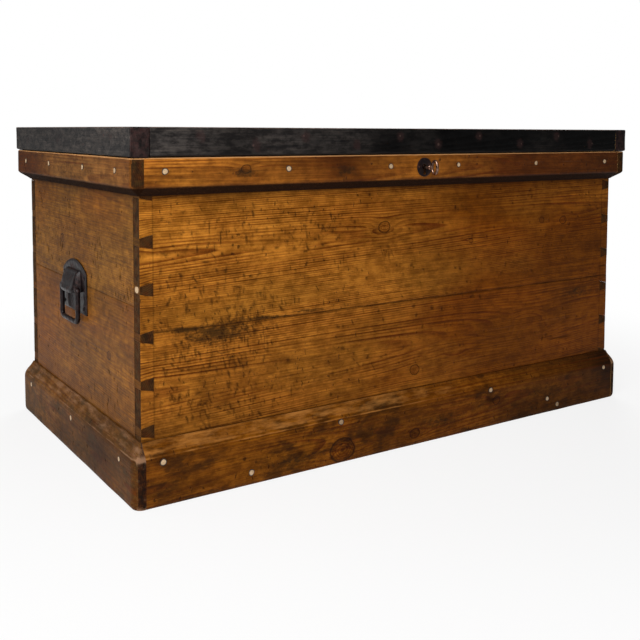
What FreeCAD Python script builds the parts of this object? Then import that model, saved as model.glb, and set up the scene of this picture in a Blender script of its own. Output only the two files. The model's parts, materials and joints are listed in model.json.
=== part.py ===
# Dovetailed pine chest with plinth, band, rimmed lid, lifting handles, hinges and lock
# Millimetres, +Z up, front towards -Y, origin on the floor at the middle of the footprint
import FreeCAD, Part
import os
import re
import Sketcher

os.makedirs("parts", exist_ok=True)
doc = FreeCAD.newDocument("fitted_chest")
Vector = FreeCAD.Vector
Rotation = FreeCAD.Rotation

# Driving dimensions
SIZES = {
    # carcass
    "carcass_width": 940,
    "carcass_depth": 504,
    "carcass_height": 449,
    "carcass_lift": 20,
    "footprint_shift": 12,
    "front_board_thick": 21,
    "end_board_thick": 19,
    "bottom_board_thick": 18,
    "bottom_board_count": 5,
    # dovetails
    "pin_count": 7,
    "pin_narrow": 11,
    "pin_wide": 19,
    # plinth and band
    "plinth_thick": 17,
    "plinth_straight": 69,
    "plinth_height": 88,
    "plinth_round": 9,
    "band_thick": 19,
    "band_straight": 39,
    "band_height": 50.7,
    "band_round": 5,
    # lid
    "lid_gap": 1.5,
    "lid_overhang": 20,
    "lid_height": 38.8,
    "rim_thick": 28,
    "lid_board_thick": 28,
    "lid_board_count": 3,
    # pegs and nails
    "peg_radius": 3.7,
    "peg_bite": 11,
    "band_peg_drop": 18,
    "nail_radius": 2.2,
    "nail_bite": 20,
    "upper_nail_drop": 11.6,
    "lower_nail_drop": 25,
    "bottom_nail_radius": 1.5,
    "bottom_nail_spread": 45,
    # screws
    "screw_radius": 1.6,
    "screw_head_radius": 3.2,
    "screw_head_height": 1.6,
    "screw_length": 15,
    # hinges
    "hinge_inset": 170,
    "leaf_length": 75,
    "leaf_depth": 24,
    "leaf_thick": 2.5,
    "knuckle_radius": 4.5,
    "knuckle_gap": 0.3,
    "hinge_pin_radius": 2,
    "hinge_stand_off": 0.4,
    "hinge_screw_spread": 25,
    "running_fit": 0.05,
    # lifting handles
    "handle_setback": 13,
    "plate_width": 111,
    "plate_height": 81,
    "plate_arch": 18,
    "plate_thick": 2.5,
    "hood_length": 66,
    "hood_wall": 3,
    "hood_rise": 28,
    "hood_shoulder": 3,
    "bail_pivot_rise": 38,
    "bail_width": 76,
    "bail_drop": 51,
    "bail_bar_radius": 4,
    "bail_top_bend": 4.4,
    "bail_foot_bend": 9,
    "plate_screw_radius": 2.1,
    "plate_screw_head": 4,
    "plate_screw_dome": 1.7,
    "plate_screw_bite": 14,
    "plate_screw_spread": 47,
    "plate_screw_low": 9,
    "plate_screw_high": 56,
    # lock
    "lock_width": 108,
    "lock_height": 46,
    "lock_depth": 15,
    "lock_wall": 1.5,
    "cap_margin": 8,
    "cap_thick": 1.5,
    "cap_screw_inset": 4,
    "cap_screw_length": 12,
    "cap_screw_rise": 18,
    "bolt_thick": 4,
    "bolt_throw": 9,
    "bolt_clear": 1.5,
    "bolt_slack": 0.5,
    "rail_height": 6,
    "rail_clear": 0.3,
    "arm_thick": 4.5,
    "finger_height": 5,
    "finger_drop": 3.5,
    "spring_thick": 1,
    "spring_width": 6,
    "spring_rise": 15,
    "spring_run": 16,
    # link plate with its two hooks
    "hook_inset": 22,
    "hook_thick": 5,
    "hook_width": 10,
    "hook_bar": 2.5,
    "hook_clear": 1,
    "link_plate_width": 90,
    "link_plate_depth": 25,
    "link_plate_thick": 1.5,
    "link_screw_inset": 6,
    # key and escutcheon
    "key_drop": 20.4,
    "shank_radius": 3,
    "keyhole_radius": 5,
    "keyhole_slot": 6,
    "bit_reach": 10.5,
    "bit_width": 7,
    "bit_thick": 3,
    "bit_clear": 1,
    "bow_stand": 26,
    "bow_width": 10.8,
    "bow_height": 18.8,
    "bow_bar_radius": 2.1,
    "bow_bend": 4.8,
    "collar_radius": 4.6,
    "collar_length": 5,
    "escutcheon_radius": 15,
    "escutcheon_thick": 1.2,
    "escutcheon_pin_radius": 1,
    "escutcheon_pin_length": 11,
    "escutcheon_pin_spread": 11.5,
    # how far a cutting shape runs past what it cuts
    "overrun": 2,
}

# Shares of the carcass that a row of fasteners or a joint follows
END_JOINT_SHARE = 0.552
FIRST_PIN_SHARES = {"left": 0.25, "right": 0.02}
JOINT_PIN_SHARE = 0.45
HANDLE_FOOT_SHARE = 0.45
BAND_FRONT_PEG_SHARES = [0.031, 0.233, 0.429, 0.577, 0.768, 0.960]
BAND_END_PEG_SHARES = [0.074, 0.335, 0.662, 0.926]
PLINTH_FRONT_PEG_SHARES = [
    (0.026, 0.89),
    (0.169, 0.27),
    (0.334, 0.93),
    (0.665, 0.93),
    (0.814, 0.38),
    (0.842, 0.17),
    (0.976, 0.89),
]
PLINTH_END_PEG_SHARES = [(0.077, 0.82), (0.488, 0.82), (0.923, 0.82)]
LID_FRONT_UPPER_NAIL_SHARES = [0.079, 0.259, 0.447, 0.625, 0.826]
LID_FRONT_LOWER_NAIL_SHARES = [0.171, 0.356, 0.530, 0.728, 0.921]
LID_END_UPPER_NAIL_SHARES = [0.15, 0.50, 0.85]
LID_END_LOWER_NAIL_SHARES = [0.32, 0.68]

sheet = doc.addObject("Spreadsheet::Sheet", "Sizes")
for row, (alias, size) in enumerate(SIZES.items(), start=1):
    sheet.set("A%d" % row, alias)
    sheet.set("B%d" % row, str(size))
    sheet.setAlias("B%d" % row, alias)
doc.recompute()

nodes = []


# Names of sizes in a formula, written as cells of the sheet
def cells(formula):
    return re.sub(r"[a-z][a-z_]+", lambda word: "Sizes." + word.group(), formula)


# What a formula of sizes comes to
def value(formula):
    result = sheet.evalExpression(cells(formula))
    return float(getattr(result, "Value", result))


# Tie properties of an object to formulas of sizes
def bind(piece, **formulas):
    for name, formula in formulas.items():
        piece.setExpression(name, cells(formula))
    return piece


# Put an object at a place given in formulas of sizes
def at(piece, place):
    for letter, formula in zip("xyz", place):
        piece.setExpression("Placement.Base." + letter, cells(formula))
    return piece


# Enter an object in the list of finished pieces
def finished(piece):
    nodes.append(piece)
    return piece


def box(name, place, lengths):
    piece = doc.addObject("Part::Box", name)
    bind(piece, Length=lengths[0], Width=lengths[1], Height=lengths[2])
    return at(piece, place)


def cylinder(name, place, direction, radius, height):
    piece = doc.addObject("Part::Cylinder", name)
    piece.Placement.Rotation = Rotation(Vector(0, 0, 1), Vector(*direction))
    bind(piece, Radius=radius, Height=height)
    return at(piece, place)


def cone(name, place, direction, first_radius, last_radius, height):
    piece = doc.addObject("Part::Cone", name)
    piece.Placement.Rotation = Rotation(Vector(0, 0, 1), Vector(*direction))
    bind(piece, Radius1=first_radius, Radius2=last_radius, Height=height)
    return at(piece, place)


# Block that tapers along its own Y, from one rectangle in X and Z to another
def taper(name, place, turn, length, first, last):
    piece = doc.addObject("Part::Wedge", name)
    piece.Placement.Rotation = turn
    bind(piece, Ymin="0", Ymax=length)
    bind(piece, Xmin=first[0], Xmax=first[1], Zmin=first[2], Zmax=first[3])
    bind(piece, X2min=last[0], X2max=last[1], Z2min=last[2], Z2max=last[3])
    return at(piece, place)


def group(name, pieces):
    piece = doc.addObject("Part::Compound", name)
    piece.Links = pieces
    return piece


def fuse(name, pieces):
    piece = doc.addObject("Part::MultiFuse", name)
    piece.Shapes = pieces
    return piece


# Cut tools off a base one after another, the last result under the given name
def cut(name, base, tools):
    for step, tool in enumerate(tools, start=1):
        last = step == len(tools)
        piece = doc.addObject("Part::Cut", name if last else "%s_cut_%d" % (name, step))
        piece.Base = base
        piece.Tool = tool
        base = piece
    return base


def common(name, first, second):
    piece = doc.addObject("Part::Common", name)
    piece.Base = first
    piece.Tool = second
    return piece


# Box with its four upright edges rounded
def rounded_box(name, place, lengths, radius):
    blank = box(name + "_blank", place, lengths)
    doc.recompute()
    piece = doc.addObject("Part::Fillet", name)
    piece.Base = blank
    size = value(radius)
    upright = [
        number
        for number, edge in enumerate(blank.Shape.Edges, start=1)
        if abs(edge.tangentAt(edge.FirstParameter).z) > abs(edge.tangentAt(edge.FirstParameter).x)
        and abs(edge.tangentAt(edge.FirstParameter).z) > abs(edge.tangentAt(edge.FirstParameter).y)
    ]
    piece.Edges = [(number, size, size) for number in upright]
    return piece


# Outline in X and Z, padded along Y to both sides of a middle
def plate(name, middle_y, thick, points):
    body = doc.addObject("PartDesign::Body", name)
    plane = next(part for part in body.Origin.OriginFeatures if part.Role == "XZ_Plane")
    sketch = body.newObject("Sketcher::SketchObject", name + "_outline")
    sketch.AttachmentSupport = [(plane, "")]
    sketch.MapMode = "FlatFace"
    corners = [Vector(value(x), value(z), 0) for x, z in points]
    for number, corner in enumerate(corners):
        sketch.addGeometry(Part.LineSegment(corner, corners[(number + 1) % len(corners)]))
    for number in range(len(corners)):
        following = (number + 1) % len(corners)
        sketch.addConstraint(Sketcher.Constraint("Coincident", number, 2, following, 1))
    for number, (x, z) in enumerate(points):
        for kind, formula in (("DistanceX", x), ("DistanceY", z)):
            rule = sketch.addConstraint(Sketcher.Constraint(kind, number, 1, value(formula)))
            sketch.setExpression("Constraints[%d]" % rule, cells(formula))
    pad = body.newObject("PartDesign::Pad", name + "_pad")
    pad.Profile = sketch
    pad.SideType = "Symmetric"
    bind(pad, Length=thick)
    return at(body, ("0", middle_y, "0"))


# Closed loop of round bar with rounded corners, standing in Y and Z about a middle
def loop(name, middle, width, height, bar_radius, top_bend, foot_bend):
    x, y, z = middle
    bars = []
    for rise, bend in (("1", top_bend), ("-1", foot_bend)):
        start = f"{y} - ({width}) / 2 + {bend}"
        level = f"{z} + {rise} * ({height}) / 2"
        span = f"{width} - 2 * {bend}"
        bars.append(cylinder(f"{name}_bar_{len(bars)}", (x, start, level), (0, 1, 0), bar_radius, span))
    for side in ("1", "-1"):
        start = f"{z} - ({height}) / 2 + {foot_bend}"
        offset = f"{y} + {side} * ({width}) / 2"
        rise = f"{height} - {top_bend} - {foot_bend}"
        bars.append(cylinder(f"{name}_bar_{len(bars)}", (x, offset, start), (0, 0, 1), bar_radius, rise))
    upright = Rotation(Vector(0, 1, 0), Vector(0, 0, 1), Vector(1, 0, 0), "ZXY")
    quarters = (("1", "1", top_bend), ("-1", "1", top_bend), ("-1", "-1", foot_bend), ("1", "-1", foot_bend))
    for quarter, (side, rise, bend) in enumerate(quarters):
        corner = doc.addObject("Part::Torus", f"{name}_corner_{quarter}")
        corner.Angle3 = 90
        corner.Placement.Rotation = Rotation(Vector(1, 0, 0), 90 * quarter) * upright
        bind(corner, Radius1=bend, Radius2=bar_radius)
        offset = f"{y} + {side} * (({width}) / 2 - {bend})"
        level = f"{z} + {rise} * (({height}) / 2 - {bend})"
        bars.append(at(corner, (x, offset, level)))
    return fuse(name, bars)


# Countersunk screw whose flat head lies in the surface it enters
def screw(name, place, direction):
    head = cone(name + "_head", place, direction, "screw_head_radius", "screw_radius", "screw_head_height")
    shank = cylinder(name + "_shank", place, direction, "screw_radius", "screw_length")
    return fuse(name, [head, shank])


# Reference planes of the carcass
LEFT = "(-carcass_width / 2)"
RIGHT = "(carcass_width / 2)"
FRONT = "(footprint_shift - carcass_depth / 2)"
BACK = "(footprint_shift + carcass_depth / 2)"
TOP = "(carcass_lift + carcass_height)"
MIDDLE = "footprint_shift"


# Pegs and nails, which the boards are cut by
def row_of_pegs(name, places, direction, radius, length):
    return [
        cylinder(f"{name}_{number}", place, direction, radius, length)
        for number, place in enumerate(places, start=1)
    ]


def along_width(share):
    return f"({LEFT} + {share} * carcass_width)"


def along_depth(share):
    return f"({FRONT} + {share} * carcass_depth)"


def band_pegs():
    level = f"{TOP} - band_peg_drop"
    length = "band_thick + peg_bite"
    fronts = [(along_width(share), f"{FRONT} - band_thick", level) for share in BAND_FRONT_PEG_SHARES]
    backs = [(along_width(share), f"{BACK} + band_thick", level) for share in BAND_FRONT_PEG_SHARES]
    lefts = [(f"{LEFT} - band_thick", along_depth(share), level) for share in BAND_END_PEG_SHARES]
    rights = [(f"{RIGHT} + band_thick", along_depth(share), level) for share in BAND_END_PEG_SHARES]
    pegs = row_of_pegs("band_front_peg", fronts, (0, 1, 0), "peg_radius", length)
    pegs += row_of_pegs("band_back_peg", backs, (0, -1, 0), "peg_radius", length)
    pegs += row_of_pegs("band_left_peg", lefts, (1, 0, 0), "peg_radius", length)
    pegs += row_of_pegs("band_right_peg", rights, (-1, 0, 0), "peg_radius", length)
    return group("band_pegs", pegs)


def plinth_pegs():
    length = "plinth_thick + peg_bite"
    fronts = [
        (along_width(share), f"{FRONT} - plinth_thick", f"{rise} * plinth_straight")
        for share, rise in PLINTH_FRONT_PEG_SHARES
    ]
    backs = [(x, f"{BACK} + plinth_thick", z) for x, y, z in fronts]
    lefts = [
        (f"{LEFT} - plinth_thick", along_depth(share), f"{rise} * plinth_straight")
        for share, rise in PLINTH_END_PEG_SHARES
    ]
    rights = [(f"{RIGHT} + plinth_thick", y, z) for x, y, z in lefts]
    pegs = row_of_pegs("plinth_front_peg", fronts, (0, 1, 0), "peg_radius", length)
    pegs += row_of_pegs("plinth_back_peg", backs, (0, -1, 0), "peg_radius", length)
    pegs += row_of_pegs("plinth_left_peg", lefts, (1, 0, 0), "peg_radius", length)
    pegs += row_of_pegs("plinth_right_peg", rights, (-1, 0, 0), "peg_radius", length)
    return group("plinth_pegs", pegs)


def lid_nails():
    length = "rim_thick + nail_bite"
    crown = f"({TOP} + lid_gap + lid_height)"
    upper = f"{crown} - upper_nail_drop"
    lower = f"{crown} - lower_nail_drop"
    spots = [(share, upper) for share in LID_FRONT_UPPER_NAIL_SHARES]
    spots += [(share, lower) for share in LID_FRONT_LOWER_NAIL_SHARES]
    ends = [(share, upper) for share in LID_END_UPPER_NAIL_SHARES]
    ends += [(share, lower) for share in LID_END_LOWER_NAIL_SHARES]
    fronts = [(along_width(share), f"{FRONT} - lid_overhang", level) for share, level in spots]
    backs = [(along_width(share), f"{BACK} + lid_overhang", level) for share, level in spots]
    lefts = [(f"{LEFT} - lid_overhang", along_depth(share), level) for share, level in ends]
    rights = [(f"{RIGHT} + lid_overhang", along_depth(share), level) for share, level in ends]
    nails = row_of_pegs("lid_front_nail", fronts, (0, 1, 0), "nail_radius", length)
    nails += row_of_pegs("lid_back_nail", backs, (0, -1, 0), "nail_radius", length)
    nails += row_of_pegs("lid_left_nail", lefts, (1, 0, 0), "nail_radius", length)
    nails += row_of_pegs("lid_right_nail", rights, (-1, 0, 0), "nail_radius", length)
    return group("lid_nails", nails)


def bottom_nails():
    count = round(value("bottom_board_count"))
    places = []
    for board in range(count):
        middle = f"{LEFT} + {2 * board + 1} * carcass_width / (2 * bottom_board_count)"
        for side in ("1", "-1"):
            for edge in (f"{FRONT} + front_board_thick / 2", f"{BACK} - front_board_thick / 2"):
                x = f"{middle} + {side} * bottom_nail_spread"
                places.append((x, edge, "carcass_lift - bottom_board_thick"))
    length = "bottom_board_thick + nail_bite"
    nails = row_of_pegs("bottom_nail", places, (0, 0, 1), "bottom_nail_radius", length)
    return group("bottom_nails", nails)


# Height of a pin's middle above the carcass floor; the front's plank joint runs into one left pin
PIN_PITCH = "(carcass_height / pin_count)"
PINS_BELOW_JOINT_COUNT = 3
JOINT_PIN_LEVEL = f"(({PINS_BELOW_JOINT_COUNT} + {FIRST_PIN_SHARES['left']}) * {PIN_PITCH})"


# Wedge-shaped pins of both end boards, running through from front to back
def dovetail_pins():
    count = round(value("pin_count"))
    narrow = ("0", "carcass_depth", "-pin_narrow / 2", "pin_narrow / 2")
    wide = ("0", "carcass_depth", "-pin_wide / 2", "pin_wide / 2")
    corners = {
        "left": (LEFT, BACK, Rotation(Vector(0, 0, 1), -90)),
        "right": (RIGHT, FRONT, Rotation(Vector(0, 0, 1), 90)),
    }
    pins = []
    for side, (x, y, turn) in corners.items():
        for number in range(count):
            level = f"carcass_lift + ({number} + {FIRST_PIN_SHARES[side]}) * {PIN_PITCH}"
            pins.append(taper(f"{side}_pin_{number}", (x, y, level), turn, "end_board_thick", narrow, wide))
    return group("dovetail_pins", pins)


# Lock position
KEY_LEVEL = f"({TOP} - key_drop)"
LOCK_FLOOR = f"({TOP} - lock_height)"
HOOK_X = "(lock_width / 2 - hook_inset)"
LOCK_FRONT = f"({FRONT} + front_board_thick - lock_depth)"
LOCK_MIDDLE = f"({FRONT} + front_board_thick - lock_depth / 2 + lock_wall / 2)"
BOARD_BACK = f"({FRONT} + front_board_thick)"


# Keyhole from the band's face to the lock: a round hole with a slot below it
def keyhole():
    start = f"{FRONT} - band_thick - overrun"
    depth = "band_thick + front_board_thick + overrun"
    bore = cylinder("keyhole_bore", ("0", start, KEY_LEVEL), (0, 1, 0), "keyhole_radius", depth)
    slot_place = ("-keyhole_slot / 2", start, f"{KEY_LEVEL} - bit_reach - bit_clear")
    slot = box("keyhole_slot_blank", slot_place, ("keyhole_slot", depth, "bit_reach + bit_clear"))
    return fuse("keyhole", [bore, slot])


# Pocket in the front board that the lock case fills
def lock_recess():
    place = ("-lock_width / 2", LOCK_FRONT, LOCK_FLOOR)
    return box("lock_recess", place, ("lock_width", "lock_depth + overrun", "lock_height + overrun"))


# Front and back boards, tails at both ends, each upper board with cuts of its own
def tail_boards(tools, upper_tools):
    joint = f"({JOINT_PIN_LEVEL} + {JOINT_PIN_SHARE} * pin_narrow)"
    rest = f"(carcass_height - {joint})"
    thick = "front_board_thick"
    boards = []
    for side, y in (("front", FRONT), ("back", f"({BACK} - front_board_thick)")):
        blank = box(f"{side}_lower_blank", (LEFT, y, "carcass_lift"), ("carcass_width", thick, joint))
        boards.append(finished(cut(f"{side}_board_lower", blank, tools)))
        place = (LEFT, y, f"carcass_lift + {joint}")
        blank = box(f"{side}_upper_blank", place, ("carcass_width", thick, rest))
        boards.append(finished(cut(f"{side}_board_upper", blank, tools + upper_tools[side])))
    return boards


# End boards: what the tails leave of the corners is their pins
def end_boards(tails, fasteners):
    joint = f"({END_JOINT_SHARE} * carcass_height)"
    boards = {}
    for side, x in (("left", LEFT), ("right", f"({RIGHT} - end_board_thick)")):
        blank = box(
            f"{side}_lower_blank",
            (x, FRONT, "carcass_lift"),
            ("end_board_thick", "carcass_depth", joint),
        )
        boards[side, "lower"] = cut(f"{side}_lower_pins", blank, tails)
        blank = box(
            f"{side}_upper_blank",
            (x, FRONT, f"carcass_lift + {joint}"),
            ("end_board_thick", "carcass_depth", f"carcass_height - {joint}"),
        )
        boards[side, "upper"] = cut(f"{side}_upper_pins", blank, tails)
    return {
        key: finished(cut(f"{key[0]}_end_board_{key[1]}", board, fasteners[key[0]]))
        for key, board in boards.items()
    }


def bottom_boards(fasteners):
    count = round(value("bottom_board_count"))
    width = "(carcass_width / bottom_board_count)"
    for number in range(count):
        place = (f"{LEFT} + {number} * {width}", FRONT, "carcass_lift - bottom_board_thick")
        blank = box(f"bottom_blank_{number}", place, (width, "carcass_depth", "bottom_board_thick"))
        finished(cut(f"bottom_board_{number + 1}", blank, fasteners))


# Rectangle about the carcass, a margin wider all round, as the taper function takes it
def outline_about(margin):
    return (
        f"-carcass_width / 2 - {margin}",
        f"carcass_width / 2 + {margin}",
        f"-carcass_depth / 2 - {margin}",
        f"carcass_depth / 2 + {margin}",
    )


# Four mouldings round the carcass: the side pieces run through to the front and the back
def mouldings(name, block, thick, floor, height, tools):
    width = "carcass_width"
    depth = f"(carcass_depth + 2 * {thick})"
    regions = {
        "left": ((f"{LEFT} - {thick}", f"{FRONT} - {thick}", floor), (thick, depth, height)),
        "right": ((RIGHT, f"{FRONT} - {thick}", floor), (thick, depth, height)),
        "front": ((LEFT, f"{FRONT} - {thick}", floor), (width, thick, height)),
        "back": ((LEFT, BACK, floor), (width, thick, height)),
    }
    for side, (place, lengths) in regions.items():
        region = box(f"{name}_{side}_region", place, lengths)
        blank = common(f"{name}_{side}_blank", block, region)
        finished(cut(f"{name}_{side}", blank, tools[side]))


def plinth(pegs):
    low = outline_about("plinth_thick")
    high = outline_about("0")
    turn = Rotation(Vector(1, 0, 0), 90)
    rise = "plinth_height - plinth_straight"
    bevel = taper("plinth_bevel", ("0", MIDDLE, "plinth_straight"), turn, rise, low, high)
    corner = (f"{LEFT} - plinth_thick", f"{FRONT} - plinth_thick", "0")
    spread = ("carcass_width + 2 * plinth_thick", "carcass_depth + 2 * plinth_thick")
    straight = box("plinth_straight_block", corner, (*spread, "plinth_straight"))
    rounded = rounded_box("plinth_envelope", corner, (*spread, "plinth_height"), "plinth_round")
    block = common("plinth_block", fuse("plinth_sharp_block", [straight, bevel]), rounded)
    tools = {side: [pegs] for side in ("left", "right", "front", "back")}
    mouldings("plinth", block, "plinth_thick", "0", "plinth_height", tools)


def band(pegs, hole, leaves, screws, pins):
    low = outline_about("0")
    high = outline_about("band_thick")
    turn = Rotation(Vector(1, 0, 0), 90)
    floor = f"({TOP} - band_height)"
    bevel = taper("band_bevel", ("0", MIDDLE, floor), turn, "band_height - band_straight", low, high)
    corner = (f"{LEFT} - band_thick", f"{FRONT} - band_thick", f"{TOP} - band_straight")
    spread = ("carcass_width + 2 * band_thick", "carcass_depth + 2 * band_thick")
    straight = box("band_straight_block", corner, (*spread, "band_straight"))
    place = (corner[0], corner[1], floor)
    rounded = rounded_box("band_envelope", place, (*spread, "band_height"), "band_round")
    block = common("band_block", fuse("band_sharp_block", [straight, bevel]), rounded)
    tools = {side: [pegs] for side in ("left", "right")}
    tools["front"] = [pegs, hole, pins]
    tools["back"] = [pegs, leaves, screws]
    mouldings("band", block, "band_thick", floor, "band_height", tools)


# Rim strips and boards of the lid
LID_FLOOR = f"({TOP} + lid_gap)"
LID_CROWN = f"({TOP} + lid_gap + lid_height)"
PANEL_FLOOR = f"({LID_CROWN} - lid_board_thick)"


def lid(nails, leaves, hinge_screws, link_screws):
    strip = "rim_thick"
    front = f"({FRONT} - lid_overhang)"
    depth = "(carcass_depth + 2 * lid_overhang)"
    inner_left = f"({LEFT} - lid_overhang + rim_thick)"
    inner_width = "(carcass_width + 2 * lid_overhang - 2 * rim_thick)"
    inner_depth = "(carcass_depth + 2 * lid_overhang - 2 * rim_thick)"
    last = f"({BACK} + lid_overhang - rim_thick)"
    pieces = {
        "left": ((f"{LEFT} - lid_overhang", front, LID_FLOOR), (strip, depth, "lid_height")),
        "right": ((f"{RIGHT} + lid_overhang - rim_thick", front, LID_FLOOR), (strip, depth, "lid_height")),
        "front": ((inner_left, front, LID_FLOOR), (inner_width, strip, "lid_height")),
        "back": ((inner_left, last, LID_FLOOR), (inner_width, strip, "lid_height")),
    }
    for side, (place, lengths) in pieces.items():
        blank = box(f"lid_rim_{side}_blank", place, lengths)
        tools = [nails, leaves, hinge_screws] if side == "back" else [nails]
        finished(cut(f"lid_rim_{side}", blank, tools))
    count = round(value("lid_board_count"))
    width = f"({inner_depth} / lid_board_count)"
    for number in range(count):
        place = (inner_left, f"{front} + rim_thick + {number} * {width}", PANEL_FLOOR)
        blank = box(f"lid_board_blank_{number}", place, (inner_width, width, "lid_board_thick"))
        tools = [nails, link_screws] if number == 0 else [nails]
        finished(cut(f"lid_board_{number + 1}", blank, tools))


# Hinges
HINGE_Y = f"({BACK} + lid_overhang + hinge_stand_off + knuckle_radius)"
HINGE_Z = f"({TOP} + lid_gap / 2)"
LEAF_BACK = f"({BACK} + lid_overhang)"
KNUCKLE = "(leaf_length / 3)"


def hinge_middles():
    return {
        "left": f"({LEFT} + hinge_inset)",
        "right": f"({RIGHT} - hinge_inset)",
    }


def hinge_screws(name, level, direction):
    screws = []
    for side, middle in hinge_middles().items():
        for step in ("-1", "0", "1"):
            place = (f"{middle} + {step} * hinge_screw_spread", f"{LEAF_BACK} - leaf_depth / 2", level)
            screws.append(screw(f"{name}_{len(screws) + 1}", place, direction))
    return group(name, screws)


# One leaf: plate, and for each knuckle a web and a barrel, bored for the pin
def leaf(name, middle, level, knuckles, screws):
    parts = [
        box(
            f"{name}_plate",
            (f"{middle} - leaf_length / 2", f"{LEAF_BACK} - leaf_depth", level),
            ("leaf_length", "leaf_depth", "leaf_thick"),
        )
    ]
    for start, length in knuckles:
        first = f"{middle} + {start}"
        place = (first, HINGE_Y, HINGE_Z)
        parts.append(cylinder(f"{name}_knuckle_{len(parts)}", place, (1, 0, 0), "knuckle_radius", length))
        web_place = (first, f"{LEAF_BACK} - leaf_thick", level)
        web_lengths = (length, "leaf_thick + hinge_stand_off + knuckle_radius", "leaf_thick")
        parts.append(box(f"{name}_web_{len(parts)}", web_place, web_lengths))
    bore = cylinder(
        f"{name}_bore",
        (f"{middle} - leaf_length / 2 - overrun", HINGE_Y, HINGE_Z),
        (1, 0, 0),
        "hinge_pin_radius + running_fit",
        "leaf_length + 2 * overrun",
    )
    return finished(cut(name, fuse(f"{name}_solid", parts), [bore, screws]))


def hinges(lower_screws, upper_screws):
    outer = f"({KNUCKLE} - knuckle_gap)"
    for side, middle in hinge_middles().items():
        ends = [("(-leaf_length / 2)", outer), (f"(leaf_length / 2 - {outer})", outer)]
        centre = [(f"(-{KNUCKLE} / 2)", KNUCKLE)]
        leaf(f"{side}_hinge_lower_leaf", middle, f"{TOP} - leaf_thick", ends, lower_screws)
        leaf(f"{side}_hinge_upper_leaf", middle, LID_FLOOR, centre, upper_screws)
        place = (f"{middle} - leaf_length / 2", HINGE_Y, HINGE_Z)
        finished(cylinder(f"{side}_hinge_pin", place, (1, 0, 0), "hinge_pin_radius", "leaf_length"))


# Recesses that the leaves lie in
def leaf_recesses(name, level):
    recesses = []
    for side, middle in hinge_middles().items():
        place = (f"{middle} - leaf_length / 2", f"{LEAF_BACK} - leaf_depth", level)
        recesses.append(box(f"{name}_{side}", place, ("leaf_length", "leaf_depth + overrun", "leaf_thick")))
    return group(name, recesses)


# Lifting handles
HANDLE_Y = "(footprint_shift + handle_setback)"
PLATE_FOOT = f"(carcass_lift + {HANDLE_FOOT_SHARE} * carcass_height)"
PIVOT_LEVEL = f"({PLATE_FOOT} + bail_pivot_rise)"
PIVOT_REACH = "(plate_thick + hood_wall + bail_bar_radius)"
SIDES = {"left": "-1", "right": "1"}


def handle_screws(side):
    sign = SIDES[side]
    outward = (int(sign), 0, 0)
    inward = (-int(sign), 0, 0)
    face = f"{sign} * (carcass_width / 2 + plate_thick)"
    screws = []
    for across in ("-1", "1"):
        for rise in ("plate_screw_low", "plate_screw_high"):
            place = (face, f"{HANDLE_Y} + {across} * plate_screw_spread", f"{PLATE_FOOT} + {rise}")
            label = f"{side}_handle_screw_{len(screws) + 1}"
            radii = ("plate_screw_head", "plate_screw_radius")
            dome = cone(f"{label}_dome", place, outward, *radii, "plate_screw_dome")
            length = "plate_thick + plate_screw_bite"
            shank = cylinder(f"{label}_shank", place, inward, "plate_screw_radius", length)
            screws.append(fuse(label, [dome, shank]))
    return group(f"{side}_handle_screws", screws)


# Arched back plate with the hood that the bail's top bar turns in
def handle_plate(side, screws):
    sign = SIDES[side]
    wall = f"({sign} * carcass_width / 2)"
    inner = wall if sign == "1" else f"({wall} - plate_thick)"
    blank = box(
        f"{side}_plate_blank",
        (inner, f"{HANDLE_Y} - plate_width / 2", PLATE_FOOT),
        ("plate_thick", "plate_width", "plate_height"),
    )
    radius = "((plate_width ^ 2 / 4 + plate_arch ^ 2) / (2 * plate_arch))"
    arch = cylinder(
        f"{side}_plate_arch",
        (inner, HANDLE_Y, f"{PLATE_FOOT} + plate_height - {radius}"),
        (1, 0, 0),
        radius,
        "plate_thick",
    )
    reach = f"({PIVOT_REACH} + bail_bar_radius + hood_wall)"
    floor = f"({PIVOT_LEVEL} - bail_bar_radius - hood_wall)"
    root = f"{wall} + {sign} * plate_thick / 2"
    edge = f"{wall} + {sign} * {reach}"
    profile = [
        (root, f"{PIVOT_LEVEL} + hood_rise"),
        (edge, f"{PIVOT_LEVEL} + hood_shoulder"),
        (edge, floor),
        (root, floor),
    ]
    hood = plate(f"{side}_hood", HANDLE_Y, "hood_length", profile)
    bore = cylinder(
        f"{side}_hood_bore",
        (f"{wall} + {sign} * {PIVOT_REACH}", f"{HANDLE_Y} - hood_length / 2 - overrun", PIVOT_LEVEL),
        (0, 1, 0),
        "bail_bar_radius + running_fit",
        "hood_length + 2 * overrun",
    )
    shield = common(f"{side}_plate_shield", blank, arch)
    solid = fuse(f"{side}_plate_solid", [shield, hood])
    return finished(cut(f"{side}_handle_plate", solid, [bore, screws]))


def bail(side):
    sign = SIDES[side]
    x = f"({sign} * (carcass_width / 2 + {PIVOT_REACH}))"
    middle = (x, HANDLE_Y, f"({PIVOT_LEVEL} - bail_drop / 2)")
    bends = ("bail_top_bend", "bail_foot_bend")
    return finished(loop(f"{side}_bail", middle, "bail_width", "bail_drop", "bail_bar_radius", *bends))


# Lock
CASE_INNER_FLOOR = f"({LOCK_FLOOR} + lock_wall)"
FINGER_TOP = f"({TOP} - finger_drop)"
FINGER_FLOOR = f"({FINGER_TOP} - finger_height)"
RAIL_FLOOR = f"({CASE_INNER_FLOOR} + rail_clear)"
RAIL_TOP = f"({RAIL_FLOOR} + rail_height)"


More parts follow.
